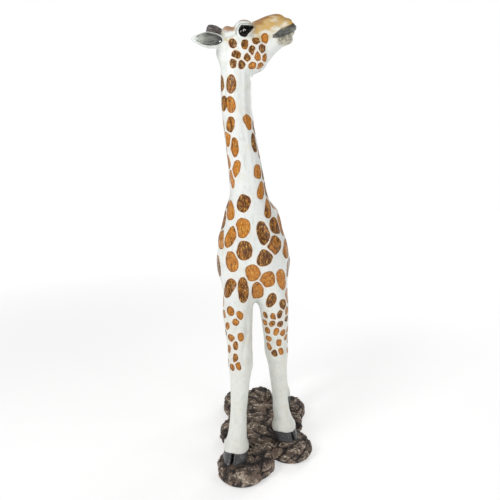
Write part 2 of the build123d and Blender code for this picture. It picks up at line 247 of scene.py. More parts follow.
def grid_values(field, low, counts, cell):
    """The field on a grid. Places far from the surface take the value of a coarser grid."""
    coarse_step = 4
    coarse_counts = -(-counts // coarse_step) + 1
    axes = [low[k] + cell * coarse_step * np.arange(coarse_counts[k]) for k in range(3)]
    coarse = field(np.stack(np.meshgrid(*axes, indexing="ij"), axis=-1).reshape(-1, 3)).reshape(coarse_counts)
    picks = [
        np.minimum((np.arange(fine) + coarse_step // 2) // coarse_step, most - 1)
        for fine, most in zip(counts, coarse_counts)
    ]
    values = coarse[np.ix_(*picks)]
    near = np.argwhere(np.abs(values) < cell * coarse_step * 2.2)
    for start in range(0, len(near), GRID_CHUNK):
        chunk = near[start : start + GRID_CHUNK]
        values[tuple(chunk.T)] = field(low + cell * chunk)
    return values


def surface_nets(values, low, cell):
    """One vertex in each cell that the surface passes, and one quad round each grid edge that it cuts."""
    cells = np.array(values.shape) - 1
    sums, hits = np.zeros((*cells, 3)), np.zeros(cells)

    def corner(at):
        return values[tuple(slice(a, a + n) for a, n in zip(at, cells))]

    for axis in range(3):
        others = [k for k in range(3) if k != axis]
        for i in (0, 1):
            for j in (0, 1):
                start = [0, 0, 0]
                start[others[0]], start[others[1]] = i, j
                end = list(start)
                end[axis] = 1
                a, b = corner(start), corner(end)
                cut = (a < 0) != (b < 0)
                share = np.where(cut, a / np.where(cut, a - b, 1), 0)
                hits += cut
                for k in range(3):
                    sums[..., k] += cut * (share if k == axis else start[k])
    active = hits > 0
    number = np.full(cells, -1)
    number[active] = np.arange(active.sum())
    points = low + cell * (np.argwhere(active) + sums[active] / hits[active][:, None])
    inside, quads = values < 0, []
    for axis in range(3):
        b, c = [(axis + 1) % 3, (axis + 2) % 3]
        keep = [slice(1, None)] * 3
        keep[axis] = slice(0, -1)
        shifted = list(keep)
        shifted[axis] = slice(1, None)
        cut = inside[tuple(keep)] != inside[tuple(shifted)]
        edge = np.argwhere(cut)
        edge[:, [b, c]] += 1
        edge = edge[(edge[:, b] < cells[b]) & (edge[:, c] < cells[c])]
        step_b, step_c = np.eye(3, dtype=int)[b], np.eye(3, dtype=int)[c]
        quad = np.stack([number[tuple((edge - s).T)] for s in (0, step_b, step_b + step_c, step_c)], axis=1)
        flip = ~inside[tuple(edge.T)]
        quad[flip] = quad[flip][:, ::-1]
        quads.append(quad)
    return points, np.concatenate(quads)


def slope(field, p, step):
    """The field's direction of steepest rise at each point."""
    return np.stack([field(p + step * e) - field(p - step * e) for e in np.eye(3)], axis=1) / (2 * step)


def unit(v):
    return v / np.maximum(np.linalg.norm(v, axis=-1, keepdims=True), 1e-9)


def make_object(name, points, faces):
    """A new object with points in millimetres. Faces all have the same number of corners."""
    mesh = bpy.data.meshes.new(name)
    corner_count = faces.shape[1]
    mesh.vertices.add(len(points))
    mesh.vertices.foreach_set("co", (points * MM).ravel())
    mesh.loops.add(faces.size)
    mesh.loops.foreach_set("vertex_index", faces.ravel())
    mesh.polygons.add(len(faces))
    mesh.polygons.foreach_set("loop_start", np.arange(len(faces)) * corner_count)
    mesh.update(calc_edges=True)
    mesh.validate()
    mesh.shade_smooth()
    made = bpy.data.objects.new(name, mesh)
    bpy.context.scene.collection.objects.link(made)
    return made


def sculpt(name, field, low, high, cell, cuts=()):
    """Meshes a field inside a box, then cuts it flat along planes, each a point and the way out."""
    low = np.asarray(low, float) - 2 * cell
    counts = np.ceil((np.asarray(high, float) + 2 * cell - low) / cell).astype(int) + 1
    points, quads = surface_nets(grid_values(field, low, counts, cell), low, cell)
    for _ in range(2):
        rise = slope(field, points, cell * 0.3)
        size = np.maximum((rise**2).sum(1), 0.2)
        points -= np.clip(field(points) / size, -cell, cell)[:, None] * rise
    made = make_object(name, points, quads)
    for point, outward in cuts:
        cut_flat(made, point, outward)
    return made


def cut_flat(made, point, outward):
    """Cuts off what lies beyond a plane, closes the cut and keeps its rim sharp."""
    sheet = bmesh.new()
    sheet.from_mesh(made.data)
    bmesh.ops.bisect_plane(
        sheet,
        geom=sheet.verts[:] + sheet.edges[:] + sheet.faces[:],
        dist=1e-6,
        plane_co=Vector(point) * MM,
        plane_no=Vector(outward),
        clear_outer=True,
    )
    rim = [edge for edge in sheet.edges if edge.is_boundary]
    caps = bmesh.ops.holes_fill(sheet, edges=rim, sides=0)["faces"]
    for edge in rim:
        edge.smooth = False
    for face in caps:
        face.smooth = False
    bmesh.ops.triangulate(sheet, faces=caps)
    sheet.to_mesh(made.data)
    sheet.free()
    made.data.update()


def mesh_points(made):
    """An object's vertices, in millimetres."""
    points = np.zeros(len(made.data.vertices) * 3)
    made.data.vertices.foreach_get("co", points)
    return points.reshape(-1, 3) / MM


def set_points(made, points):
    made.data.vertices.foreach_set("co", (points * MM).ravel())
    made.data.update()


def add_value(made, name, values):
    """Stores one number at each vertex for the materials."""
    made.data.attributes.new(name, "FLOAT", "POINT").data.foreach_set("value", np.asarray(values, np.float32))


def add_colour(made, name, colours):
    """Stores one linear colour at each vertex for the materials."""
    with_alpha = np.concatenate([colours, np.ones((len(colours), 1))], axis=1).astype(np.float32)
    made.data.color_attributes.new(name, "FLOAT_COLOR", "POINT").data.foreach_set("color", with_alpha.ravel())


def join_frame(made, node):
    """Puts a piece on the statue in place of its CAD node."""
    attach(made, ROOT)
    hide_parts(node)


# ---- The body's field ------------------------------------------------------------------------------------

LIMB_LEVELS = (112, 130, 165, 220, 280, 340, 388, 440, 500, 556)
# A limb's upper stations: share of the way to the top, half width, half depth
FORE_TOP, FORE_UPPER = (38, -105, 800), ((0.33, 52, 64), (0.67, 40, 54), (1.0, 18, 32))
HIND_TOP, HIND_UPPER = (40, 145, 800), ((0.33, 54, 72), (0.67, 46, 62), (1.0, 18, 38))


def limb_column(leg):
    """A limb, measured on its CAD leg and carried on up into the trunk."""
    mesh = node_mesh(f"{leg}_leg")
    stations = [ring(mesh, height) for height in LIMB_LEVELS]
    height, x, y = stations[-1][:3]
    (out, top_y, top_z), upper = (FORE_TOP, FORE_UPPER) if leg.startswith("front") else (HIND_TOP, HIND_UPPER)
    top_x = BODY_X + math.copysign(out, x - BODY_X)
    for share, half_width, half_depth in upper:
        stations.append(
            (
                height + (top_z - height) * share,
                x + (top_x - x) * share,
                y + (top_y - y) * share,
                half_width,
                half_depth,
            )
        )
    return Column(stations)


LIMBS = {leg: limb_column(leg) for leg in LEGS}
COLUMN_BOTTOM = 96

# The trunk: a plane between the two pairs of legs cuts its back and belly lines
TRUNK_SLICE_X = -24
TRUNK_ENDS = (-206, 236)
WITHERS_Y, TRUNK_TOP, CHEST_TOP = 10, 984, 830
TRUNK_MIDDLE_SHARE = 0.31
TRUNK_CAP = 70


def trunk_column():
    """Sections along Y: middle height, half width, reach above and below the middle."""
    mesh = node_mesh("torso")
    profile = crossings(mesh, 0, TRUNK_SLICE_X)
    stations = []
    for y in np.linspace(TRUNK_ENDS[0] + 4, TRUNK_ENDS[1] - 4, 14):
        line = profile[np.abs(profile[:, 1] - y) < 9]
        low, high = line[:, 2].min(), line[:, 2].max()
        if y < WITHERS_Y:
            high = TRUNK_TOP - (TRUNK_TOP - CHEST_TOP) * ((WITHERS_Y - y) / (WITHERS_Y - TRUNK_ENDS[0])) ** 2
        belt = crossings(mesh, 1, y)
        belt = belt[(belt[:, 2] > 650) & (belt[:, 2] < 780)]
        half_width = (belt[:, 0].max() - belt[:, 0].min()) / 2
        middle = low + (high - low) * TRUNK_MIDDLE_SHARE
        stations.append((y, middle, half_width, high - middle, middle - low))
    return Column(stations, soften=30)


TRUNK = trunk_column()


def trunk(p):
    """The barrel: full below, leaner towards the spine, closed at both ends by round caps."""
    middle, half_width, above, below = TRUNK(p[:, 1])
    rise = p[:, 2] - middle
    upper = rise > 0
    half_rise = np.where(upper, above, below)
    power = np.where(upper, 1.1, 2.1)
    from_middle = np.abs(p[:, 1] - sum(TRUNK_ENDS) / 2)
    end = np.clip((from_middle - (np.ptp(TRUNK_ENDS) / 2 - TRUNK_CAP)) / TRUNK_CAP, 0, 1)
    shrink = np.sqrt(np.maximum(1 - end**2 * 0.72, 0.02))
    field = section_field(p[:, 0] - BODY_X, rise, half_width * shrink, half_rise * shrink, power)
    return keep(field, TRUNK.ends(p[:, 1]), 40)


NECK_ROOT = ((790, -44, -108, 100, 98), (860, -46, -114, 80, 96), (953, -52, -125, 57, 84))
NECK_LEVELS = (1047, 1100, 1150, 1214, 1260, 1290)
NECK_TOP = (1380, -94, -150, 40, 44)
NECK = Column([*NECK_ROOT, *(ring(node_mesh("neck"), height) for height in NECK_LEVELS), NECK_TOP])


def neck(p):
    """The neck: a little narrower at the back than at the throat."""
    x, y, half_x, half_y = NECK(p[:, 2])
    across, along = p[:, 0] - x, p[:, 1] - y
    field = section_field(across, along, half_x * (1 - 0.0012 * np.clip(along, -60, 80)), half_y, 2.1)
    sway = 3 * np.sin(p[:, 2] / 90)
    for place, width, depth in ((-15, 5, 1.5), (17, 5, 1.9), (-32, 6, 1.1), (33, 6, 1.3)):
        groove = np.exp(-(((across - place - sway) / width) ** 2)) * smooth_step(10, -20, along)
        field = field + depth * groove * smooth_step(930, 1010, p[:, 2])
    return keep(field, NECK.ends(p[:, 2]), 30)


def both_sides(p, axis, middle):
    """The points with one axis measured outwards from a middle plane, so that one shape makes a pair."""
    q = p.copy()
    q[:, axis] = np.abs(p[:, axis] - middle)
    return q


# Muscles in pairs: (outwards, y, z), radii, how far they melt into the body
MUSCLES = [
    ((66, -96, 806), (24, 44, 84), 40),  # shoulder blade
    ((84, -128, 730), (34, 44, 60), 36),  # point of the shoulder
    ((40, -172, 752), (40, 36, 66), 40),  # breast
    ((90, 20, 690), (26, 105, 74), 40),  # ribs
    ((78, 150, 705), (36, 64, 92), 40),  # thigh
    ((52, 186, 846), (26, 40, 30), 36),  # hip bone
    ((52, 214, 800), (44, 32, 70), 36),  # buttock
]
SPINE = [
    (BODY_X, -60, 956, 26),
    (BODY_X, 0, 960, 24),
    (BODY_X, 80, 938, 22),
    (BODY_X, 170, 888, 22),
    (BODY_X, 212, 852, 20),
]


def mane(p):
    """A low stiff crest down the back of the neck, with cut bristles."""
    x, y, _, half_y = NECK(np.clip(p[:, 2], 880, 1370))
    bristles = 1.6 * np.sin(p[:, 2] * 0.55 + 3 * noise(p, 40, 8)) + 1.2 * noise(p * (1, 1, 4), 14, 9)
    back = y + half_y - 8 + bristles
    behind = np.maximum(p[:, 1] - back, 0) + np.minimum(p[:, 1] - back + 30, 0)
    q = np.stack([(p[:, 0] - x) * 1.5, behind], axis=1)
    field = np.linalg.norm(q, axis=1) - 13
    return keep(field, np.maximum(905 - p[:, 2], p[:, 2] - 1352), 14)


def leg_bumps(leg):
    """The joints that make a column into a leg: (middle, radii, how far it melts in)."""
    column = LIMBS[leg]

    def on_leg(height, ahead, out=0.0):
        x, y, _, half_depth = (float(value[0]) for value in column(np.array([height])))
        return (x + out, y - ahead * half_depth, height)

    bumps = [(on_leg(160.0, -0.78), (17, 13, 16), 14)]  # back of the fetlock
    bumps += [(on_leg(148.0, -0.95, out), (6, 8, 10), 7) for out in (-9, 9)]  # dewclaws
    if leg.startswith("front"):
        bumps.append((on_leg(392.0, 0.62), (25, 17, 27), 16))  # kneecap
        bumps.append((on_leg(374.0, -0.72), (13, 12, 16), 14))
    else:
        bumps.append((on_leg(408.0, -0.9), (13, 17, 30), 18))  # point of the hock
        bumps.append((on_leg(388.0, 0.5), (20, 16, 26), 16))
    return bumps


LEG_BUMPS = {leg: leg_bumps(leg) for leg in LEGS}


def coronet_line(p, leg):
    """The wavy lower edge of the hair over a hoof."""
    x, y = (float(v[0]) for v in LIMBS[leg](np.array([112.0]))[:2])
    angle = np.arctan2(p[:, 0] - x, -(p[:, 1] - y))
    return COLUMN_BOTTOM + 2.6 * np.cos(3 * angle + 0.6) + 0.9 * np.cos(5 * angle + 2) - 3 * np.cos(angle)


def limb(p, leg):
    """One leg with its joints, a tendon groove each side, and hair flaring over the hoof."""
    column = LIMBS[leg]
    x, y, half_x, half_y = column(p[:, 2])
    z = p[:, 2]
    across, along = p[:, 0] - x, p[:, 1] - y
    cannon = smooth_step(120, 190, z) * smooth_step(360, 320, z)
    field = section_field(across, along, half_x, half_y, 2.15)
    groove = np.exp(-(((along - 0.28 * half_y) / 7) ** 2)) * cannon * 1.8
    flare = 6.5 * smooth_step(134, 96, z)
    strands = 0.4 * np.sin(np.arctan2(across, along) * 11 + 2 * noise(p, 25, 3)) * smooth_step(135, 100, z)
    field = field + groove - flare - strands
    if leg.startswith("front"):
        inner = across * math.copysign(1, BODY_X - x[0])
        seam = 30 - 22 * smooth_step(530, 400, z)
        hollow = np.exp(-(((inner - seam) / 6) ** 2)) * smooth_step(0, -14, along)
        field = field + 3.4 * hollow * smooth_step(385, 420, z) * smooth_step(575, 520, z)
    field = np.where(z > column.at[-1], field + (z - column.at[-1]), field)
    for centre, radii, reach in LEG_BUMPS[leg]:
        field = blend_in(field, ellipsoid(p, centre, radii), reach)
    return keep(field, coronet_line(p, leg) - z, 4)


def body(p):
    """Everything in one skin: trunk, neck, limbs and muscles."""
    field = trunk(p)
    q = both_sides(p, 0, BODY_X)
    for centre, radii, reach in MUSCLES:
        field = blend_in(field, ellipsoid(q, centre, radii), reach)
    field = blend_in(field, chain(p, SPINE, 20), 34)
    fore = blend_in(limb(p, "front_right"), limb(p, "front_left"), 7)
    hind = blend_in(limb(p, "rear_right"), limb(p, "rear_left"), 7)
    field = blend_in(blend_in(field, fore, 34), hind, 34)
    field = blend_in(field, neck(p), 46)
    field = blend_in(field, mane(p), 9)
    chisel = 0.5 * noise(p * (1, 1, 0.45), 22, 31) + 0.35 * noise(p * (1, 1, 0.5), 9, 32)
    return field + chisel


# ---- The head's field ------------------------------------------------------------------------------------

# Along X, from poll to lips: lowest height, highest height, half width
HEAD_STATIONS = [
    (-146, 1352, 1388, 18),
    (-128, 1334, 1410, 34),
    (-100, 1318, 1424, 44),
    (-64, 1308, 1436, 48),
    (-30, 1308, 1450, 43),
    (0, 1328, 1467, 35),
    (26, 1360, 1473, 31),
    (52, 1384, 1465, 29),
    (74, 1400, 1453, 26),
    (87, 1414, 1442, 15),
]
SKULL = Column(
    [(x, (low + high) / 2, half, (high - low) / 2) for x, low, high, half in HEAD_STATIONS], soften=9
)
# Head places are (x, outwards from the middle plane, z)
EYE_CENTRE = np.array((-61.0, 49.0, 1415.5))
EYE_OUT = unit(np.array((0.12, 0.985, 0.10)))
EYE_FORWARD = unit(np.array((0.9, -0.16, 0.42)))
EYE_UP = np.cross(EYE_FORWARD, EYE_OUT)
EYE_RADIUS, EYE_CORNER, EYE_CORNER_RADIUS = 15.5, 29.0, 1.6
MOUTH_LINE = [(24, 1404), (40, 1406), (58, 1411), (74, 1418), (92, 1430)]
NOSTRIL = ((60, 22, 1446), (72, 19, 1449))
HEAD_SHAPES = [
    ((-62, 30, 1425), (31, 25, 27), 9),  # orbit
    ((-46, 33, 1356), (40, 17, 38), 26),  # cheek
    ((-34, 27, 1337), (34, 15, 19), 20),  # jaw angle
    ((-95, 0, 1424), (26, 22, 13), 12),  # forehead bump
    ((-122, 34, 1382), (24, 16, 17), 14),  # ear base
    ((68, 11, 1437), (21, 18, 17), 14),  # muzzle pad
    ((62, 0, 1403), (21, 17, 14), 10),  # chin
    ((62, 0, 1455), (19, 12, 8), 11),  # end of the nose
]


def polyline_gap(across, rise, points):
    """How far 2-D places are from a polyline, and how far along it, from 0 to 1, they stand."""
    best, share = np.full(len(across), 1e9), np.zeros(len(across))
    place = np.stack([across, rise], axis=1)
    for step, (start, end) in enumerate(zip(points, points[1:])):
        start, along = np.array(start, float), np.array(end, float) - np.array(start, float)
        t = np.clip((place - start) @ along / (along @ along), 0, 1)
        gap = np.linalg.norm(place - start - t[:, None] * along, axis=1)
        share = np.where(gap < best, (step + t) / (len(points) - 1), share)
        best = np.minimum(best, gap)
    return best, share


def eye_outline(q):
    """In the eye's plane: distance outside the drop-shaped opening, and depth in front of the plane."""
    local = q - EYE_CENTRE
    forward, up, out = local @ EYE_FORWARD, local @ EYE_UP, local @ EYE_OUT
    share = np.clip(forward / EYE_CORNER, 0, 1)
    lift = 2.0 * share * share
    gap = np.hypot(forward - share * EYE_CORNER, up - lift)
    return gap - (EYE_RADIUS + (EYE_CORNER_RADIUS - EYE_RADIUS) * share**0.8), forward, up, out


def head(p):
    """Skull and muzzle on the top of the neck, with sockets, lids, mouth, nostrils and jaw."""
    q = both_sides(p, 1, HEAD_Y)
    x, out, z = q.T
    middle, half_out, half_rise = SKULL(x)
    rise = z - middle
    lean = 1 - 0.18 * smooth_step(-10, 40, x) * np.clip(rise / half_rise, -1, 1)
    field = section_field(out, rise, half_out * lean, half_rise, 2.15)
    field = keep(field, SKULL.ends(x), 16)
    stub = neck(p)
    field = blend_in(field, stub, 26)
    for centre, radii, reach in HEAD_SHAPES:
        field = blend_in(field, ellipsoid(q, centre, radii), reach)
    ridge = chain(q, [(-44, 34, 1396, 9), (-84, 42, 1396, 9), (-120, 34, 1390, 9)], 8)
    field = blend_in(field, ridge, 14)
    bridge = bone(q, (-30, 0, 1442), (40, 0, 1462), 13, 11)
    field = blend_in(field, bridge, 16)
    horn_root = bone(q, (-88, 19, 1408), (-112, 24, 1420), 19, 17)
    field = blend_in(field, horn_root, 10)
    field = carve(field, ellipsoid(q, (4, 44, 1418), (48, 9, 22)), 14)  # hollow before the eye
    # mouth
    gap, along = polyline_gap(x, z, MOUTH_LINE)
    field = field + 3.4 * np.exp(-((gap / 2.6) ** 2)) * smooth_step(0.0, 0.12, along) * smooth_step(-4, 20, x)
    lip = np.exp(-(((z - np.interp(x, *zip(*MOUTH_LINE)) - 7) / 6.0) ** 2)) * smooth_step(22, 60, x)
    field = field - 2.2 * lip
    # nostril
    slit = bone(q, *NOSTRIL, 3.2, 2.2)
    field = carve(field, slit, 3)
    field = field - 1.5 * np.exp(-((slit - 3.5) ** 2) / 10)
    # eye opening, lids and the crease over them
    outline, _, up, depth = eye_outline(q)
    side = smooth_step(-26, -10, depth)
    field = field + 6.5 * smooth_step(1.0, -4.0, outline) * side
    lid = np.exp(-(((outline - 2.6) / 2.3) ** 2))
    crease = np.exp(-(((outline - 8.0) / 1.7) ** 2)) * smooth_step(-4, 6, up)
    field = field - (2.4 + 1.4 * smooth_step(0, 10, up)) * lid * side + 1.3 * crease * side
    poll = smooth_step(-70, -95, x) * smooth_step(1405, 1390, z)
    wrinkle = 0.5 * np.sin(z * 0.9 + 2.5 * noise(p, 30, 41)) * poll
    chin = 0.6 * noise(p, 3.2, 44) * smooth_step(24, 40, x) * smooth_step(1413, 1405, z)
    chisel = 0.4 * noise(p, 14, 42) + 0.25 * noise(p, 6, 43)
    return field + chisel + chin + 0.3 * wrinkle


# ---- The fields of the smaller pieces --------------------------------------------------------------------

EAR_LENGTH = 97.0
# Each ear's root, its length's direction and the direction in which it opens
EARS = {
    "right": ((-121, -186, 1389.5), (-0.96, -0.26, 0.05), (0.25, -0.957, 0.14)),
    "left": ((-120, -117, 1389), (-0.64, 0.66, 0.39), (0.55, 0.06, 0.8)),
}
HORN_ROOT, HORN_LENGTH = np.array((-94.0, 21.0, 1406.0)), 83.0
HORN_ALONG = unit(np.array((-0.96, 0.0, 0.27)))


def local_axes(along, facing):
    """Three square directions: along, across and facing."""
    facing = unit(facing - (facing @ along) * along)
    return np.stack([along, np.cross(facing, along), facing])


EAR_AXES = {side: local_axes(unit(np.array(ear[1])), np.array(ear[2])) for side, ear in EARS.items()}
HORN_AXES = local_axes(HORN_ALONG, np.array((0.0, 0.0, 1.0)))


def ear_scoop(q):
    """The hollow of an ear, in the ear's own directions."""
    return ellipsoid(q, (EAR_LENGTH * 0.52, 0, 15), (EAR_LENGTH * 0.43, 18.5, 18.5))


def in_ear(p, side):
    """Points in an ear's own directions: along, across and out of its hollow."""
    return (p - np.array(EARS[side][0])) @ EAR_AXES[side].T


def ear(p, side):
    """A leaf with a pointed tip, hollowed on one side, its rim slightly rolled."""
    q = in_ear(p, side)
    tip = smooth_step(0.5, 1.05, q[:, 0] / EAR_LENGTH)
    leaf = q * np.stack([np.ones(len(q)), 1 + 0.55 * tip, 1 + 0.35 * tip], axis=1)
    leaf[:, 2] += 5 * (q[:, 0] / EAR_LENGTH - 0.4) ** 2 * 4 - 2
    field = ellipsoid(leaf, (EAR_LENGTH * 0.47, 0, 0), (EAR_LENGTH * 0.53, 23.5, 15))
    field = blend_in(field, bone(q, (-8, 0, -1), (22, 0, -1), 13, 12), 12)
    field = carve(field, ear_scoop(leaf), 3.5)
    return field + 0.3 * noise(p, 7, 51)


def horn(p):
    """A short horn with a brush of stiff hair at its end."""
    q = (both_sides(p, 1, HEAD_Y) - HORN_ROOT) @ HORN_AXES.T
    stalk = bone(q, (-6, 0, 0), (HORN_LENGTH * 0.7, 0, 0), 17.5, 12)
    angle = np.arctan2(q[:, 1], q[:, 2])
    hair = 1.1 * np.sin(angle * 13 + 3 * noise(p, 16, 61)) + 0.8 * np.sin(angle * 29 + 4 * noise(p, 12, 62))
    brush = ellipsoid(q, (HORN_LENGTH * 0.76, 0, 0), (HORN_LENGTH * 0.34, 17.5, 16.5)) - hair * 0.8
    field = blend_in(stalk, brush, 5)
    return keep(field, q[:, 0] - HORN_LENGTH - 1.5 * noise(p, 4, 63), 3)


def eyeball(p):
    """The drop-shaped, domed glass that fills an eye's opening."""
    outline, forward, up, depth = eye_outline(both_sides(p, 1, HEAD_Y))
    reach = np.hypot(np.where(forward > 0, forward * 0.55, forward), up)
    dome = depth - (3.2 - 5.2 * (reach / EYE_RADIUS) ** 2)
    return keep(keep(outline - 1.4, dome, 1.5), -9 - depth, 1)


def hoof_axes(leg):
    """A hoof's coronet middle and the direction in which its toe points, from its CAD shape."""
    mesh = node_mesh(f"{leg}_hoof")
    top, sole = ring(mesh, CORONET - 3), ring(mesh, HOOF_SEAT + 6)
    middle, ahead = np.array(top[1:3]), np.array(sole[1:3]) - np.array(top[1:3])
    return middle, unit(ahead)


HOOVES = {leg: hoof_axes(leg) for leg in LEGS}


def hoof(p, leg):
    """A cloven hoof: two toes that part in front, growth rings, and a flat sole."""
    middle, ahead = HOOVES[leg]
    flat = p[:, :2] - middle
    across, along, rise = flat @ np.array((ahead[1], -ahead[0])), flat @ ahead, p[:, 2] - HOOF_SEAT
    share = np.clip(rise / (CORONET - HOOF_SEAT), 0, 1.2)
    pinch = 1 + 0.25 * smooth_step(10, 60, along)
    size = 1.0 if leg.startswith("front") else 0.88
    half_width, half_length = (42 - 5 * share) * size, (50 - 12 * share) * size
    field = section_field(across * pinch, along - 11 * (1 - share), half_width, half_length, 2.3)
    split = np.maximum(np.abs(across) - 1.2 - 0.07 * np.maximum(along, 0), 20 + 10 * share - along)
    field = carve(field, split, 5)
    rings = 0.45 * np.sin(rise * 0.75 + 1.2 * noise(p, 20, 71)) + 0.5 * noise(p, 8, 72)
    field = keep(field + rings, rise - (CORONET + 4 - HOOF_SEAT), 6)
    return np.maximum(field, -rise)


TAIL_MESH = node_mesh("tail")
TAIL_LOW = node_box("tail")[0]
TAIL = Column([ring(TAIL_MESH, height) for height in np.linspace(TAIL_LOW[2] + 4, 780, 9)])
TUFT_TOP = 650


def tail(p):
    """A thin tail that hangs from the rump and ends in a tuft of twisted strands."""
    z = p[:, 2]
    x, y, _, _ = TAIL(z)
    tuft = smooth_step(TUFT_TOP, TUFT_TOP - 50, z)
    angle = np.arctan2(p[:, 0] - x, p[:, 1] - y)
    twist = 1.6 * np.sin(angle * 7 + z * 0.05) + 0.9 * np.sin(angle * 15 - z * 0.08 + 2 * noise(p, 20, 81))
    end = smooth_step(TAIL_LOW[2] + 2, TAIL_LOW[2] + 60, z)
    radius = 8.5 * (1 - tuft) + (4 + 10 * end) * tuft
    hanging = np.hypot(p[:, 0] - x, p[:, 1] - y) - radius - twist * tuft
    hanging = np.maximum(hanging, np.maximum(TAIL_LOW[2] + 2 - z, z - 790))
    root = chain(p, [(BODY_X, 222, 822, 14), (BODY_X, 250, 812, 12), (BODY_X, 268, 790, 9.5)], 8)
    return blend_in(hanging, root, 8) + 0.3 * noise(p, 9, 82)


# ---- Patches ---------------------------------------------------------------------------------------------

# The width and height of a patch on each region
LEG_PATCH, TRUNK_PATCH, NECK_PATCH, CHEEK_PATCH = (17, 22), (37, 60), (25, 46), (19, 24)
FLANK_GROWTH = 0.6  # how much larger the patches are behind the shoulders
PATCH_FILL = 1.16  # how far a patch grows past its own place, until its neighbours stop it
JOINED_SHARE = 0.08  # how many patches grow together with a neighbour
PATCH_GAP = 6.0
BARE_BELOW = 374
THROAT_SIDE, THROAT_HALF_ANGLE = 8, 20  # the bare stripe down the throat, in degrees round the neck
COAT_SEED, CHEEK_SEED, PATCH_TRIES = 7, 11, 14000
BREAST_HALF_WIDTH, BREAST_END = 26, 700  # the same stripe on the chest, and the height at which it ends


class Patches:
    """Ellipses laid on the skin, each with its own middle, directions and half sizes."""

    def __init__(self):
        self.rows, self.joined = [], set()

    def lay(self, middle, normal, width, tall, tilt):
        across = unit(np.cross((0.0, 0.0, 1.0), normal))
        up = np.cross(normal, across)
        turn = math.radians(tilt if width > tall else -tilt)
        right = across * math.cos(turn) + up * math.sin(turn)
        rise = up * math.cos(turn) - across * math.sin(turn)
        self.rows.append((middle, right, rise, (width / 2, tall / 2), normal))

    def distance(self, points):
        """How far each point is outside the nearest patch, and that patch's number."""
        middles, rights, rises, halves, normals = (np.array(column) for column in zip(*self.rows))
        wobbly = warp(warp(points, 30, 3.4, 91), 10, 1.0, 92)
        gaps, owners = np.empty(len(points)), np.empty(len(points), int)
        for start in range(0, len(points), 4000):
            chunk = slice(start, start + 4000)
            offset = wobbly[chunk, None, :] - middles
            a, b = (offset * rights).sum(2), (offset * rises).sum(2)
            radius = np.hypot(a, b)
            scaled = (np.abs(a / halves[:, 0]) ** 2.3 + np.abs(b / halves[:, 1]) ** 2.3) ** (1 / 2.3)
            gap = radius - radius / np.maximum(scaled, 1e-6)
            reach = np.abs((offset * normals).sum(2))
            gap = np.where(reach > 8 + 0.9 * halves.max(1), 500.0, gap)
            order = np.argpartition(gap, 1, axis=1)[:, :2]
            two = np.take_along_axis(gap, order, 1)
            owners[chunk] = order[np.arange(len(two)), two.argmin(1)]
            parting = (PATCH_GAP - np.abs(two[:, 0] - two[:, 1])) / 2
            together = np.array([tuple(sorted(pair)) in self.joined for pair in order.tolist()])
            gaps[chunk] = np.maximum(two.min(1), np.where(together, -99, parting))
        return gaps, owners


def patch_sizes(points):
    """A patch's width and height at each place: small on the legs, broad on the trunk, tall on the neck."""
    z = points[:, 2]
    sizes = np.tile(np.array(TRUNK_PATCH, float), (len(points), 1))
    sizes *= 1 + FLANK_GROWTH * smooth_step(-90, 20, points[:, 1])[:, None]
    for share, size in ((smooth_step(650, 540, z), LEG_PATCH), (smooth_step(860, 990, z), NECK_PATCH)):
        sizes += share[:, None] * (np.array(size) - sizes)
    return sizes


def patch_spacing(points):
    """How far apart patches keep: touching on the trunk, with more white between them on legs and neck."""
    z = points[:, 2]
    front = smooth_step(-60, -120, points[:, 1])
    return 0.98 + 0.14 * front + 0.20 * smooth_step(600, 480, z) + 0.06 * smooth_step(900, 1000, z)


def coat_places(points, normals):
    """Where the coat has patches: not on the shins, the insides of the legs, the belly or the throat."""
    x, y, z = points.T
    neck_x, neck_y, _, _ = NECK(np.clip(z, 940, 1350))
    around = np.degrees(np.arctan2(x - neck_x, neck_y - y))
    throat = (z > 920) & (np.abs(around - THROAT_SIDE) < THROAT_HALF_ANGLE)
    breast = (z > BREAST_END) & (z <= 920) & (y < -60) & (np.abs(x - BODY_X - 6) < BREAST_HALF_WIDTH)
    plain_side = (z > 1180) & (around > THROAT_SIDE) & (around < 110)
    inward = np.sign(BODY_X - x) * normals[:, 0]
    inside = (z < 640) & (inward > 0.8)
    arch = (z < 625) & (np.abs(x - BODY_X) < 34)
    covered = (z > BARE_BELOW + 12) & (z < 1335) & (normals[:, 2] > -0.6)
    return covered & ~(throat | breast | plain_side | inside | arch)


def cheek_places(points, normals):
    """Where both cheeks have patches: from the jaw up to the eye, behind the muzzle."""
    q = both_sides(points, 1, HEAD_Y)
    x, _, z = q.T
    facing = (np.abs(normals[:, 1]) > 0.5) & (eye_outline(q)[0] > 17)
    return facing & (x > -96) & (x < 4) & (z > 1316) & (z < 1398)


def scatter_patches(points, normals, sizes, spacing, seed):
    """Patches at random places that keep apart by their sizes; a few grow together with a neighbour."""
    patches, random = Patches(), np.random.default_rng(seed)
    laid, halves = np.zeros((0, 3)), np.zeros((0, 2))
    for index in random.permutation(len(points))[:PATCH_TRIES]:
        here, half = points[index], sizes[index] / 2
        flat = np.linalg.norm((laid - here)[:, :2], axis=1) / (halves[:, 0] + half[0])
        apart = np.hypot(flat, (laid - here)[:, 2] / (halves[:, 1] + half[1]))
        if (apart < spacing[index]).any():
            continue
        if len(laid) and random.random() < JOINED_SHARE:
            patches.joined.add((int(apart.argmin()), len(laid)))
        stretch = random.uniform(0.85, 1.2)
        width, tall = 2 * PATCH_FILL * half * (stretch, 1 / stretch)
        patches.lay(here, normals[index], width, tall, random.uniform(-28, 28))
        laid, halves = np.vstack([laid, here]), np.vstack([halves, half])
    return patches


# ---- Materials -------------------------------------------------------------------------------------------


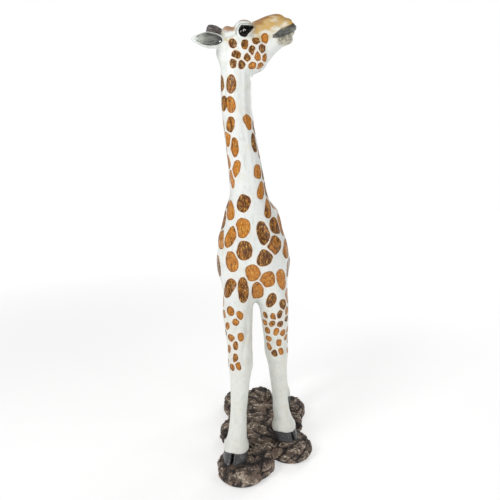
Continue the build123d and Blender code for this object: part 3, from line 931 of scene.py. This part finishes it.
class Paint:
    """A material under construction. Sizes are in millimetres."""

    def __init__(self, name):
        self.material = bpy.data.materials.new(name)
        self.material.use_nodes = True
        self.tree = self.material.node_tree
        self.tree.nodes.clear()
        self.place = self.node("ShaderNodeTexCoord").outputs["Object"]

    def node(self, kind, inputs=None, **settings):
        made = self.tree.nodes.new(kind)
        for key, value in settings.items():
            setattr(made, key, value)
        for key, value in (inputs or {}).items():
            socket = made.inputs[key]
            if isinstance(value, bpy.types.NodeSocket):
                self.tree.links.new(value, socket)
            elif isinstance(value, tuple) and socket.type == "RGBA":
                socket.default_value = (*value, 1)
            else:
                socket.default_value = value
        return made

    def value(self, name):
        return self.node("ShaderNodeAttribute", attribute_name=name).outputs["Fac"]

    def colour(self, name):
        return self.node("ShaderNodeAttribute", attribute_name=name).outputs["Color"]

    def math(self, operation, a, b=0.0):
        return self.node("ShaderNodeMath", {0: a, 1: b}, operation=operation).outputs[0]

    def step(self, value, low, high, start=0.0, end=1.0):
        inputs = {"Value": value, "From Min": low, "From Max": high, "To Min": start, "To Max": end}
        return self.node("ShaderNodeMapRange", inputs, interpolation_type="SMOOTHSTEP").outputs["Result"]

    def mix(self, share, a, b, blend="MIX"):
        made = self.node("ShaderNodeMix", {0: share, 6: a, 7: b}, data_type="RGBA", blend_type=blend)
        return made.outputs[2]

    def noise(self, size, detail=4.0, rough=0.55, stretch=(1, 1, 1), distortion=0.0):
        place = self.node("ShaderNodeMapping", {"Vector": self.place, "Scale": stretch}).outputs[0]
        inputs = {
            "Vector": place,
            "Scale": 1000 / size,
            "Detail": detail,
            "Roughness": rough,
            "Distortion": distortion,
        }
        return self.node("ShaderNodeTexNoise", inputs).outputs["Fac"]

    def relief(self, *layers):
        """Bump layers, each (height, how many millimetres it stands for, strength)."""
        normal = None
        for height, size, strength in layers:
            inputs = {"Height": height, "Distance": size * MM, "Strength": strength}
            if normal is not None:
                inputs["Normal"] = normal
            normal = self.node("ShaderNodeBump", inputs).outputs[0]
        return normal

    def finish(self, colour, roughness, normal=None, **more):
        inputs = {"Base Color": colour, "Roughness": roughness}
        if normal is not None:
            inputs["Normal"] = normal
        inputs.update({key.replace("_", " "): value for key, value in more.items()})
        shader = self.node("ShaderNodeBsdfPrincipled", inputs).outputs[0]
        self.node("ShaderNodeOutputMaterial", {"Surface": shader})
        return self.material


WHITE = (0.82, 0.84, 0.81)
SHADE_GREEN = (0.44, 0.50, 0.47)
WARM_STAIN = (0.70, 0.62, 0.42)
ORANGE = (0.55, 0.195, 0.021)
BROWN = (0.105, 0.036, 0.008)
RIM_BROWN = (0.085, 0.027, 0.007)
GOLD = (0.84, 0.46, 0.10)
PEACH = (0.80, 0.55, 0.36)


def coat_material(name):
    """Brushed white paint over carved wood, with glossy orange-brown patches that have darker rims, and
    painted grey-green shade in the hollows.
    """
    paint = Paint(name)
    patch, tint, hollow = paint.value("patch"), paint.value("tint"), paint.value("hollow")
    ground = paint.colour("ground")
    mottle = paint.noise(38, 5, 0.6)
    ground = paint.mix(paint.step(mottle, 0.50, 0.72, 0, 0.30), ground, WARM_STAIN)
    cool = paint.noise(24, 5, 0.65, (1, 1, 0.6), 0.8)
    ground = paint.mix(paint.step(cool, 0.50, 0.68, 0, 0.26), ground, SHADE_GREEN)
    strokes = paint.noise(9, 6, 0.65, (1.6, 1.6, 0.28), 0.6)
    ground = paint.mix(paint.step(strokes, 0.50, 0.70, 0, 0.28), ground, SHADE_GREEN)
    # painted shade: grey-green deep in hollows and folds
    ground = paint.mix(paint.step(hollow, 0.15, 0.95, 0, 0.62), ground, SHADE_GREEN)
    ragged = paint.math("MULTIPLY", paint.math("SUBTRACT", paint.noise(7, 3), 0.5), 2.4)
    edge = paint.math("ADD", patch, ragged)
    ground = paint.mix(paint.step(edge, 2.6, 0.6, 0, 0.75), ground, PEACH)
    wash = paint.noise(15, 5, 0.7, (1.3, 1.3, 0.5), 0.8)
    wash = paint.math("ADD", wash, paint.math("MULTIPLY", paint.math("SUBTRACT", tint, 0.5), 0.28))
    fill = paint.mix(paint.step(wash, 0.40, 0.60), ORANGE, BROWN)
    flecks = paint.noise(6, 4, 0.7, (1.4, 1.4, 0.5), 0.8)
    fill = paint.mix(paint.step(flecks, 0.51, 0.64, 0, 0.8), fill, GOLD)
    fine = paint.noise(4, 4, 0.7, (1.5, 1.5, 0.5), 0.5)
    fill = paint.mix(paint.step(fine, 0.48, 0.66, 0, 0.7), fill, RIM_BROWN)
    fill = paint.mix(paint.step(edge, -3.4, -0.5, 0, 0.72), fill, RIM_BROWN)
    inside = paint.step(edge, 0.45, -0.45)
    colour = paint.mix(inside, ground, fill)
    rough = paint.step(paint.noise(20, 4), 0.3, 0.7, 0.30, 0.44)
    rough = paint.math("SUBTRACT", rough, paint.math("MULTIPLY", inside, 0.08))
    normal = paint.relief(
        (paint.step(edge, -2.2, 0.8), 1.2, 0.8),
        (strokes, 0.9, 0.35),
        (paint.noise(3.2, 4, 0.6), 0.5, 0.28),
    )
    gloss = paint.step(edge, 0.5, -0.5, 0.5, 0.28)
    return paint.finish(colour, rough, normal, Coat_Weight=0.12, Coat_Roughness=0.2, Specular_IOR_Level=gloss)


def streaky_material(name, stretch=(1, 1, 1), gloss=0.42):
    """Brushed paint of the colours laid at the vertices: face, ears, horns, tail and hooves, with painted
    shade in the hollows.
    """
    paint = Paint(name)
    ground, hollow = paint.colour("ground"), paint.value("hollow")
    strokes = paint.noise(5, 6, 0.7, stretch, 0.5)
    colour = paint.mix(paint.step(strokes, 0.45, 0.7, 0, 0.55), ground, (0.02, 0.018, 0.015), "MULTIPLY")
    colour = paint.mix(paint.step(strokes, 0.38, 0.62, 0.55, 0), colour, ground)
    light = paint.mix(0.5, ground, (0.7, 0.7, 0.66))
    colour = paint.mix(paint.step(paint.noise(3, 5, 0.7, stretch), 0.6, 0.8, 0, 0.55), colour, light)
    # painted shade: near black deep in hollows
    colour = paint.mix(paint.step(hollow, 0.2, 0.9, 0, 0.6), colour, (0.02, 0.018, 0.016))
    normal = paint.relief((strokes, 1.0, 0.6), (paint.noise(2.4, 4), 0.5, 0.4))
    return paint.finish(colour, gloss, normal, Coat_Weight=0.12, Coat_Roughness=0.25)


def eye_material():
    """Polished black glass with a faint brown iris and a pale painted highlight."""
    paint = Paint("eye_glass")
    colour = paint.mix(paint.value("iris"), (0.002, 0.002, 0.002), (0.006, 0.003, 0.002))
    # painted highlight: a pale arc laid into the glass's colour
    colour = paint.mix(paint.value("painted_highlight"), colour, (0.75, 0.76, 0.74))
    rough = paint.step(paint.noise(6, 2), 0.3, 0.7, 0.03, 0.07)
    return paint.finish(colour, rough, None, Coat_Weight=0.1, Coat_Roughness=0.02, Specular_IOR_Level=0.15)


def rock_material():
    """Dark bronze-brown rock whose crests are dry-brushed with dull gold; its crevices are near black, partly
    dark paint and partly painted shade.
    """
    paint = Paint("rock")
    crest, crevice_paint_and_shade = paint.value("crest"), paint.value("crevice_paint_and_shade")
    blotch = paint.noise(42, 5, 0.6)
    base = paint.mix(paint.step(blotch, 0.38, 0.62), (0.030, 0.019, 0.015), (0.165, 0.112, 0.080))
    grain = paint.noise(4.5, 6, 0.7, (1, 1, 1.6), 1.2)
    base = paint.mix(paint.step(grain, 0.45, 0.7, 0, 0.5), base, (0.20, 0.14, 0.10))
    brushed = paint.math("ADD", crest, paint.math("MULTIPLY", paint.math("SUBTRACT", grain, 0.5), 1.5))
    gold = paint.step(brushed, 0.52, 1.05, 0, 0.85)
    colour = paint.mix(gold, base, (0.62, 0.50, 0.38))
    colour = paint.mix(paint.step(brushed, 0.78, 1.06, 0, 0.9), colour, (0.84, 0.78, 0.68))
    # crevices near black: partly dark paint left in them, partly painted shade
    colour = paint.mix(paint.step(crevice_paint_and_shade, 0.30, 0.80), colour, (0.010, 0.006, 0.005))
    rough = paint.step(gold, 0, 1, 0.55, 0.36)
    normal = paint.relief((grain, 1.8, 0.8), (paint.noise(1.8, 4, 0.7), 0.7, 0.5))
    return paint.finish(colour, rough, normal, Metallic=paint.step(gold, 0, 1, 0.05, 0.45))


def felt_material():
    """Black pressed felt with a loose nap."""
    paint = Paint("felt")
    nap = paint.noise(1.2, 6, 0.8)
    colour = paint.mix(paint.step(nap, 0.35, 0.7), (0.012, 0.012, 0.013), (0.055, 0.053, 0.05))
    normal = paint.relief((nap, 0.8, 0.9), (paint.noise(9, 3), 0.6, 0.4))
    return paint.finish(colour, 0.95, normal, Sheen_Weight=0.4)


def beech_material():
    """Bare turned beech: pale, with fine grain along the dowel."""
    paint = Paint("bare_beech")
    grain = paint.noise(2.2, 6, 0.6, (1, 1, 0.06), 0.3)
    colour = paint.mix(paint.step(grain, 0.35, 0.68), (0.56, 0.36, 0.19), (0.36, 0.20, 0.095))
    flecks = paint.step(paint.noise(1.0, 3, 0.6, (1, 1, 0.15)), 0.62, 0.74, 0, 0.6)
    colour = paint.mix(flecks, colour, (0.24, 0.12, 0.05))
    return paint.finish(colour, 0.62, paint.relief((grain, 0.3, 0.5)))


def zinc_material():
    """Zinc-plated steel with spangled blotches and light scratches."""
    paint = Paint("zinc_steel")
    blotch = paint.noise(6, 5, 0.6)
    colour = paint.mix(paint.step(blotch, 0.4, 0.62), (0.52, 0.53, 0.53), (0.68, 0.68, 0.66))
    scratches = paint.noise(0.9, 4, 0.7, (1, 1, 0.1))
    rough = paint.step(blotch, 0.3, 0.7, 0.26, 0.46)
    return paint.finish(colour, rough, paint.relief((scratches, 0.15, 0.5)), Metallic=1.0)


def wear(made, material):
    """Gives an object one material."""
    made.data.materials.clear()
    made.data.materials.append(material)


# ---- Painting by place -----------------------------------------------------------------------------------


def hollows(field, points, normals, reach):
    """How far each place sits in a hollow, from 0 in the open to 1 deep in a fold; the materials paint shade
    by it.
    """
    covered = np.zeros(len(points))
    for share in (0.4, 1.0):
        step = reach * share
        covered += np.clip((step - field(points + normals * step)) / step, 0, 1.6)
    return np.clip(covered / 2, 0, 1)


def layered(ground, *layers):
    """A ground with layers of (how much, colour) brushed over it in turn."""
    for share, colour in layers:
        ground = ground + share[:, None] * (np.array(colour) - ground)
    return ground


def coat_ground(points, normals):
    """The white coat, with painted shade greying the insides of the legs and the undersides."""
    ground = np.tile(np.array(WHITE), (len(points), 1))
    inward = np.sign(BODY_X - points[:, 0]) * normals[:, 0]
    inner_leg_shade = smooth_step(600, 560, points[:, 2]) * smooth_step(0.2, 0.9, inward)
    # painted shade: grey-green on the insides of the legs and on faces that turn downwards
    ground = layered(
        ground,
        (0.20 * inner_leg_shade, SHADE_GREEN),
        (0.35 * smooth_step(0.2, 1.0, -normals[:, 2]), SHADE_GREEN),
    )
    hoof_hair = smooth_step(150, 100, points[:, 2]) * smooth_step(-0.2, 0.6, noise(points, 22, 21))
    ground = layered(
        ground,
        (0.25 * hoof_hair, (0.62, 0.58, 0.50)),
        (0.14 * smooth_step(620, 480, points[:, 2]), WARM_STAIN),
    )
    crest = smooth_step(0.55, 0.95, normals[:, 1]) * smooth_step(900, 960, points[:, 2])
    return layered(ground, (0.8 * crest, (0.34, 0.13, 0.035)))


def paint_skin(made, field, patches, ground, reach):
    """Lays the patches into a skin and stores everything that its material reads."""
    points = mesh_points(made)
    normals = unit(slope(field, points, 1.0))
    gap, owner = patches.distance(points)
    add_value(made, "patch", np.clip(gap, -30, 30))
    add_value(made, "tint", hashed(np.stack([owner, owner * 3, owner * 7], axis=1).astype(np.int64), 5))
    add_value(made, "hollow", hollows(field, points, normals, reach))
    add_colour(made, "ground", ground(points, normals))
    sunk = 1.1 * smooth_step(1.0, -2.5, gap)
    set_points(made, points - normals * sunk[:, None])


OCHRE, RUST, CREAM = (0.60, 0.35, 0.06), (0.36, 0.14, 0.025), (0.74, 0.70, 0.58)
LIP_DARK, CHIN_CREAM, STAIN = (0.019, 0.022, 0.017), (0.46, 0.42, 0.31), (0.58, 0.46, 0.11)


def face_ground(points, normals):
    """The face: rust and ochre bridge, cream cheeks, dark lips, outlined eyes and yellow stains."""
    q = both_sides(points, 1, HEAD_Y)
    x, out, z = q.T
    ground = coat_ground(points, normals)
    middle, _, half_rise = SKULL(x)
    rise = (z - middle) / half_rise
    muzzle = smooth_step(-52, -20, x)
    streak = 0.18 * noise(points * (0.4, 1, 1), 12, 22) + 0.10 * noise(points * (0.5, 1, 1), 5, 23)
    ground = layered(
        ground,
        (0.75 * muzzle * smooth_step(-0.25, 0.35, rise + streak), CREAM),
        (0.9 * muzzle * smooth_step(0.26 - 0.004 * x, 0.70, rise + 2.4 * streak), OCHRE),
        (0.9 * muzzle * smooth_step(0.72, 0.90, rise + streak), RUST),
    )
    nose = smooth_step(30, 52, x) * smooth_step(-0.1, 0.5, rise + 2 * streak)
    ground = layered(ground, (0.7 * nose, OCHRE))
    orbit = ellipsoid(q, (-62, 30, 1425), (31, 25, 27))
    dome = smooth_step(5, -1, orbit) * smooth_step(1441, 1449, z + 14 * streak)
    ground = layered(ground, (0.9 * dome, RUST))
    bump = smooth_step(1414, 1424, z + 14 * streak) * smooth_step(-130, -118, x) * smooth_step(-84, -94, x)
    ground = layered(ground, (0.9 * bump, RUST))
    under_eye = np.exp(-(((x + 8) / 26) ** 2) - ((z - 1402 - 0.12 * (x + 8)) / 8) ** 2)
    behind = np.exp(-(((x + 108) / 17) ** 2) - ((z - 1394) / 6) ** 2)
    stain = np.clip(under_eye + behind, 0, 1) * smooth_step(-0.5, 0.4, noise(points, 9, 24) + 0.4)
    ground = layered(ground, (0.9 * stain, STAIN))
    # lips and chin
    line = np.interp(x, *zip(*MOUTH_LINE))
    band = 7 + 13 * smooth_step(22, 50, x)
    upper_lip = smooth_step(-2.0, 0.0, z - line) * smooth_step(band + 1.5, band - 1.5, z - line)
    lips = np.maximum(upper_lip, smooth_step(3.2, 1.8, np.abs(z - line + 1)))
    lips *= smooth_step(20, 25, x)
    chin = smooth_step(30, 44, x) * smooth_step(0, -3, z - line) * smooth_step(1380, 1392, z)
    grit = smooth_step(-0.1, 0.4, noise(points, 4.2, 25))
    ground = layered(
        ground,
        (0.9 * chin, CHIN_CREAM),
        (0.75 * chin * grit, (0.10, 0.095, 0.07)),
        (0.95 * lips, LIP_DARK),
    )
    slit = bone(q, *NOSTRIL, 3.2, 2.2)
    ground = layered(ground, (0.9 * smooth_step(1.5, -0.5, slit), LIP_DARK))
    # eyes
    outline, _, up, depth = eye_outline(q)
    side = smooth_step(-26, -14, depth)
    ring_line = smooth_step(2.2, 1.0, outline) * side
    crease = smooth_step(1.6, 0.4, np.abs(outline - 7.6)) * smooth_step(-3, 6, up) * side
    shade = smooth_step(12, 8.5, outline) * smooth_step(6.0, 8.0, outline) * smooth_step(0, 8, up) * side
    ground = layered(
        ground,
        (0.55 * shade, (0.36, 0.40, 0.33)),
        (0.7 * crease, (0.16, 0.17, 0.13)),
    )
    return layered(ground, (ring_line, (0.008, 0.008, 0.008)))


def ear_ground(points, normals, side):
    """White outside; inside, near-black at the root and pale at the tip, with long dark strands."""
    q = in_ear(points, side)
    share = q[:, 0] / EAR_LENGTH
    inside = smooth_step(2.2, 0.6, ear_scoop(q)) * smooth_step(-3, 1, q[:, 2] + 4)
    strands = noise(q * (0.12, 1, 1), 3.2, 26) + 0.6 * noise(q * (0.2, 1, 1), 1.6, 27)
    ground = np.tile(np.array(WHITE), (len(points), 1))
    lining = np.tile(np.array((0.025, 0.024, 0.022)), (len(points), 1))
    lining = layered(
        lining,
        (smooth_step(0.12, 0.34, share + 0.10 * strands), (0.22, 0.225, 0.20)),
        (smooth_step(0.45, 0.80, share + 0.08 * strands), (0.60, 0.64, 0.57)),
    )
    lining = lining * (1 - 0.62 * smooth_step(-0.1, 0.5, strands))[:, None]
    return ground + inside[:, None] * (lining - ground)


def horn_ground(points, normals):
    """A cream stalk under a dark grey-brown brush."""
    q = (both_sides(points, 1, HEAD_Y) - HORN_ROOT) @ HORN_AXES.T
    share = q[:, 0] / HORN_LENGTH + 0.05 * noise(q * (0.3, 1, 1), 4, 28)
    ground = np.tile(np.array((0.70, 0.66, 0.54)), (len(points), 1))
    ground = layered(ground, (smooth_step(0.40, 0.50, share), (0.085, 0.068, 0.062)))
    pale = smooth_step(0.25, 0.7, noise(q * (0.15, 1, 1), 2.6, 29)) * smooth_step(0.45, 0.55, share)
    return layered(ground, (0.55 * pale, (0.30, 0.27, 0.26)))


def tail_ground(points, normals):
    """White above, with a dark brown tuft."""
    ground = np.tile(np.array(WHITE), (len(points), 1))
    tuft = smooth_step(TUFT_TOP + 6, TUFT_TOP - 14, points[:, 2] + 8 * noise(points, 12, 30))
    return layered(ground, (tuft, (0.075, 0.040, 0.025)))


def hoof_ground(points, normals):
    """Dark grey horn with pale blotches, partly wear and partly painted light on the upper faces, as they
    fade out on faces that turn downwards; and paler where the brush dragged over the front.
    """
    ground = np.tile(np.array((0.060, 0.058, 0.060)), (len(points), 1))
    wear_and_top_light = smooth_step(0.0, 0.8, noise(points * (1, 1, 0.4), 12, 33))
    # painted light: the pale blotches fade out on faces that turn downwards, so the upper faces read lighter
    wear_and_top_light *= smooth_step(-0.2, 0.5, normals[:, 2] + 0.3)
    scratch = smooth_step(0.45, 0.75, noise(points * (1.6, 1.6, 0.25), 5, 34))
    ground = layered(ground, (0.5 * wear_and_top_light, (0.19, 0.185, 0.185)))
    return layered(ground, (0.6 * scratch, (0.34, 0.33, 0.32)))


# ---- The pieces ------------------------------------------------------------------------------------------

COARSER = 1.0
UP, DOWN = (0, 0, 1), (0, 0, -1)


def block(node, field, cell, cuts=(), grow=12.0, name=None):
    """Sculpts the piece that stands for one CAD node, in that node's space."""
    low, high = node_box(node)
    return sculpt(name or f"{node}_skin", field, low - grow, high + grow, cell * COARSER, cuts)


NECK_GROW = 56  # the skin reaches back over the withers, past the block's own box


def make_body():
    """Torso, neck and legs, cut from one body where their blocks are glued."""
    slope_point, slope_out = dowel_plane("neck_dowel")
    leg_top, neck_top = (0, 0, LEG_JOINT), (0, 0, HEAD_JOINT)
    skins = {
        "torso": block("torso", body, 3.8, [(leg_top, DOWN), (slope_point, slope_out)]),
        "neck": block("neck", body, 2.8, [(slope_point, -slope_out), (neck_top, UP)], NECK_GROW),
    }
    for leg in LEGS:
        skins[f"{leg}_leg"] = block(f"{leg}_leg", body, 2.6, [(leg_top, UP)])
    return skins


def body_patches(skins):
    """The patches of the coat, laid over trunk, neck and legs at once."""
    points = np.concatenate([mesh_points(made) for made in skins.values()])
    normals = unit(slope(body, points, 1.0))
    fit = coat_places(points, normals)
    points, normals = points[fit], normals[fit]
    return scatter_patches(points, normals, patch_sizes(points), patch_spacing(points), COAT_SEED)


def cheek_patches(made):
    """The small patches on both cheeks."""
    points = mesh_points(made)
    normals = unit(slope(head, points, 1.0))
    fit = cheek_places(points, normals)
    points, normals = points[fit], normals[fit]
    sizes = np.tile(np.array(CHEEK_PATCH, float), (len(points), 1))
    return scatter_patches(points, normals, sizes, np.full(len(points), 1.06), CHEEK_SEED)


def make_rock():
    """The plinth: its CAD shape remeshed, softened, and broken into lumps with swirling strokes."""
    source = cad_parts["rock_plinth"]
    made = bpy.data.objects.new("rock_plinth_skin", source.data.copy())
    bpy.context.scene.collection.objects.link(made)
    remesh = made.modifiers.new("remesh", "REMESH")
    remesh.mode, remesh.voxel_size = "VOXEL", 2.3 * MM * COARSER
    smooth = made.modifiers.new("smooth", "SMOOTH")
    smooth.factor, smooth.iterations = 0.5, 14
    bpy.context.view_layer.update()
    shaped = bpy.data.meshes.new_from_object(made.evaluated_get(bpy.context.evaluated_depsgraph_get()))
    made.modifiers.clear()
    made.data = shaped
    made.data.shade_smooth()
    points = mesh_points(made)
    normals = np.zeros(len(points) * 3)
    shaped.vertex_normals.foreach_get("vector", normals)
    normals = normals.reshape(-1, 3)
    bottom = node_box("rock_plinth")[0][2]
    free = smooth_step(bottom + 1, bottom + 14, points[:, 2])
    for middle, ahead in HOOVES.values():
        gap = np.linalg.norm(points[:, :2] - middle - 12 * ahead, axis=1)
        free *= np.where(points[:, 2] > HOOF_SEAT - 12, smooth_step(36, 62, gap), 1)
    place = warp(points, 60, 20, 101)
    near, next_near, owner = pebbles(place * (1, 1, 1.3), 56, 103)
    broken = smooth_step(-0.35, 0.25, noise(points, 48, 110))
    crack = smooth_step(0.20, 0.0, next_near - near) * broken
    swirl = warp(warp(points, 60, 30, 105), 22, 9, 111)
    strokes = 1 - 2.4 * np.abs(noise(swirl * (0.42, 1.3, 1.6), 17, 106))
    strokes2 = 1 - 2.4 * np.abs(noise(swirl * (1.3, 0.45, 1.6), 9, 107))
    fine = noise(points, 4.5, 108)
    pits = smooth_step(0.35, 0.75, noise(points, 24, 109))
    height = (owner - 0.5) * 7 - 5 * crack - 4 * pits + 3.2 * strokes + 1.9 * strokes2 + 0.8 * fine
    set_points(made, points + normals * (free * height)[:, None])
    crest = 0.42 + 0.30 * strokes + 0.20 * strokes2 + 0.12 * fine - 0.4 * crack - 0.4 * pits
    add_value(made, "crest", np.clip(crest, 0, 1.4))
    # how deep each place lies in a crack, a pit or a stroke's valley: the crevices' dark paint and painted
    # shade
    hollow = 0.8 * crack + 0.5 * pits + 0.6 * smooth_step(0.1, -1.0, strokes)
    hollow += 0.4 * smooth_step(0.2, -0.9, strokes2)
    add_value(made, "crevice_paint_and_shade", np.clip(hollow, 0, 1))
    wear(made, rock_material())
    join_frame(made, "rock_plinth")
    return made


def dress(made, field, ground, material, reach=5.0):
    """Colours a small piece by place and gives it its material."""
    points = mesh_points(made)
    normals = unit(slope(field, points, 0.6))
    add_colour(made, "ground", ground(points, normals))
    add_value(made, "hollow", hollows(field, points, normals, reach))
    wear(made, material)


def make_eye(node, material):
    """One eye, with a painted highlight: a pale arc high on its front."""
    made = block(node, eyeball, 0.8, grow=14, name=f"{node}_glass")
    _, forward, up, _ = eye_outline(both_sides(mesh_points(made), 1, HEAD_Y))
    from_pupil = np.hypot(forward, up)
    add_value(made, "iris", smooth_step(12, 9, from_pupil) * smooth_step(5, 8, from_pupil))
    # painted highlight: the pale arc stands in for a reflection
    arc = np.abs(np.hypot(forward - 1, up - 2) - 3)
    add_value(made, "painted_highlight", smooth_step(1.2, 0.4, arc) * smooth_step(-1, 1, up))
    wear(made, material)
    join_frame(made, node)


def make_pieces():
    """Every visible piece of the statue."""
    skins = make_body()
    face = block("head", head, 1.7, [((0, 0, HEAD_JOINT), DOWN)])
    patches = body_patches(skins)
    coat = coat_material("painted_coat")
    for node, made in skins.items():
        paint_skin(made, body, patches, coat_ground, 16)
        wear(made, coat)
        join_frame(made, node)
    paint_skin(face, head, merged(cheek_patches(face), patches), face_ground, 6)
    wear(face, coat_material("painted_face"))
    join_frame(face, "head")
    ear_paint, horn_paint = streaky_material("painted_ear"), streaky_material("painted_horn", (0.4, 1, 1))
    glass = eye_material()
    for side in ("right", "left"):
        field = partial(ear, side=side)
        lug = block(f"{side}_ear", field, 1.3)
        dress(lug, field, partial(ear_ground, side=side), ear_paint)
        join_frame(lug, f"{side}_ear")
        knob = block(f"{side}_ossicone", horn, 1.3, grow=8)
        dress(knob, horn, horn_ground, horn_paint)
        join_frame(knob, f"{side}_ossicone")
        make_eye(f"{side}_eye", glass)
    hoof_paint = streaky_material("hoof_paint", (1, 1, 0.5), 0.34)
    for leg in LEGS:
        field = partial(hoof, leg=leg)
        foot = block(f"{leg}_hoof", field, 1.8)
        dress(foot, field, hoof_ground, hoof_paint)
        join_frame(foot, f"{leg}_hoof")
    rope = block("tail", tail, 2.2)
    dress(rope, tail, tail_ground, streaky_material("painted_tail", (1, 1, 0.25)))
    join_frame(rope, "tail")
    make_rock()
    for nodes, material in (
        (("felt_sheet",), felt_material()),
        (("neck_dowel", "head_dowel", "leg_dowels"), beech_material()),
        (("hoof_studs", "stud_washers", "stud_nuts"), zinc_material()),
    ):
        for node in nodes:
            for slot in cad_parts[node].material_slots:
                slot.material = material


def merged(first, second):
    """The patches of the first set with those of the second that reach up to the head."""
    both = Patches()
    both.rows = first.rows + [row for row in second.rows if row[0][2] > HEAD_JOINT - 60]
    return both


# ---- Stage -----------------------------------------------------------------------------------------------

CAMERA_PLACE, CAMERA_PITCH, CAMERA_AZIMUTH = (8, -1689, 1030), 10, 2
LENS, SENSOR = 34.56, 36


def make_stage():
    """A pale floor that runs to a white horizon, soft studio lights and the camera."""
    corners = np.array([(-9e3, -9e3, 0), (9e3, -9e3, 0), (9e3, 9e3, 0), (-9e3, 9e3, 0.0)])
    floor = make_object("floor", corners, np.array([[0, 1, 2, 3]]))
    pale = Paint("pale_floor")
    away = pale.node("ShaderNodeVectorMath", {0: pale.place}, operation="LENGTH").outputs["Value"]
    glow = pale.step(away, 1.2, 5.0, 0.52, 0.86)
    wear(floor, pale.finish((0.62, 0.62, 0.62), 0.8, None, Emission_Color=(1, 1, 1), Emission_Strength=glow))
    world = bpy.data.worlds.new("studio")
    world.use_nodes = True
    nodes, links = world.node_tree.nodes, world.node_tree.links
    background, path = nodes["Background"], nodes.new("ShaderNodeLightPath")
    level = nodes.new("ShaderNodeMapRange")
    level.inputs["To Min"].default_value = 0.34
    level.inputs["To Max"].default_value = 1.0
    links.new(path.outputs["Is Camera Ray"], level.inputs["Value"])
    links.new(level.outputs[0], background.inputs["Strength"])
    background.inputs["Color"].default_value = (1, 1, 1, 1)
    bpy.context.scene.world = world
    middle = Vector((0, 0, 0.8))
    for name, place, size, power in (
        ("key", (-1.9, -2.3, 2.6), 1.2, 54),
        ("fill", (2.3, -1.7, 1.7), 1.6, 15),
        ("rim", (1.2, 2.2, 2.4), 1.4, 26),
    ):
        lamp = bpy.data.objects.new(name, bpy.data.lights.new(name, "AREA"))
        lamp.data.size, lamp.data.energy = size, power
        lamp.location = place
        lamp.rotation_euler = (middle - Vector(place)).to_track_quat("-Z", "Y").to_euler()
        bpy.context.scene.collection.objects.link(lamp)
    camera = bpy.data.objects.new("camera", bpy.data.cameras.new("camera"))
    camera.location = Vector(CAMERA_PLACE) * MM
    camera.rotation_euler = Euler((math.radians(90 - CAMERA_PITCH), 0, math.radians(CAMERA_AZIMUTH)))
    camera.data.lens, camera.data.sensor_width = LENS, SENSOR
    bpy.context.scene.collection.objects.link(camera)
    bpy.context.scene.camera = camera
    bpy.context.scene.view_settings.view_transform = "Standard"


make_pieces()
make_stage()
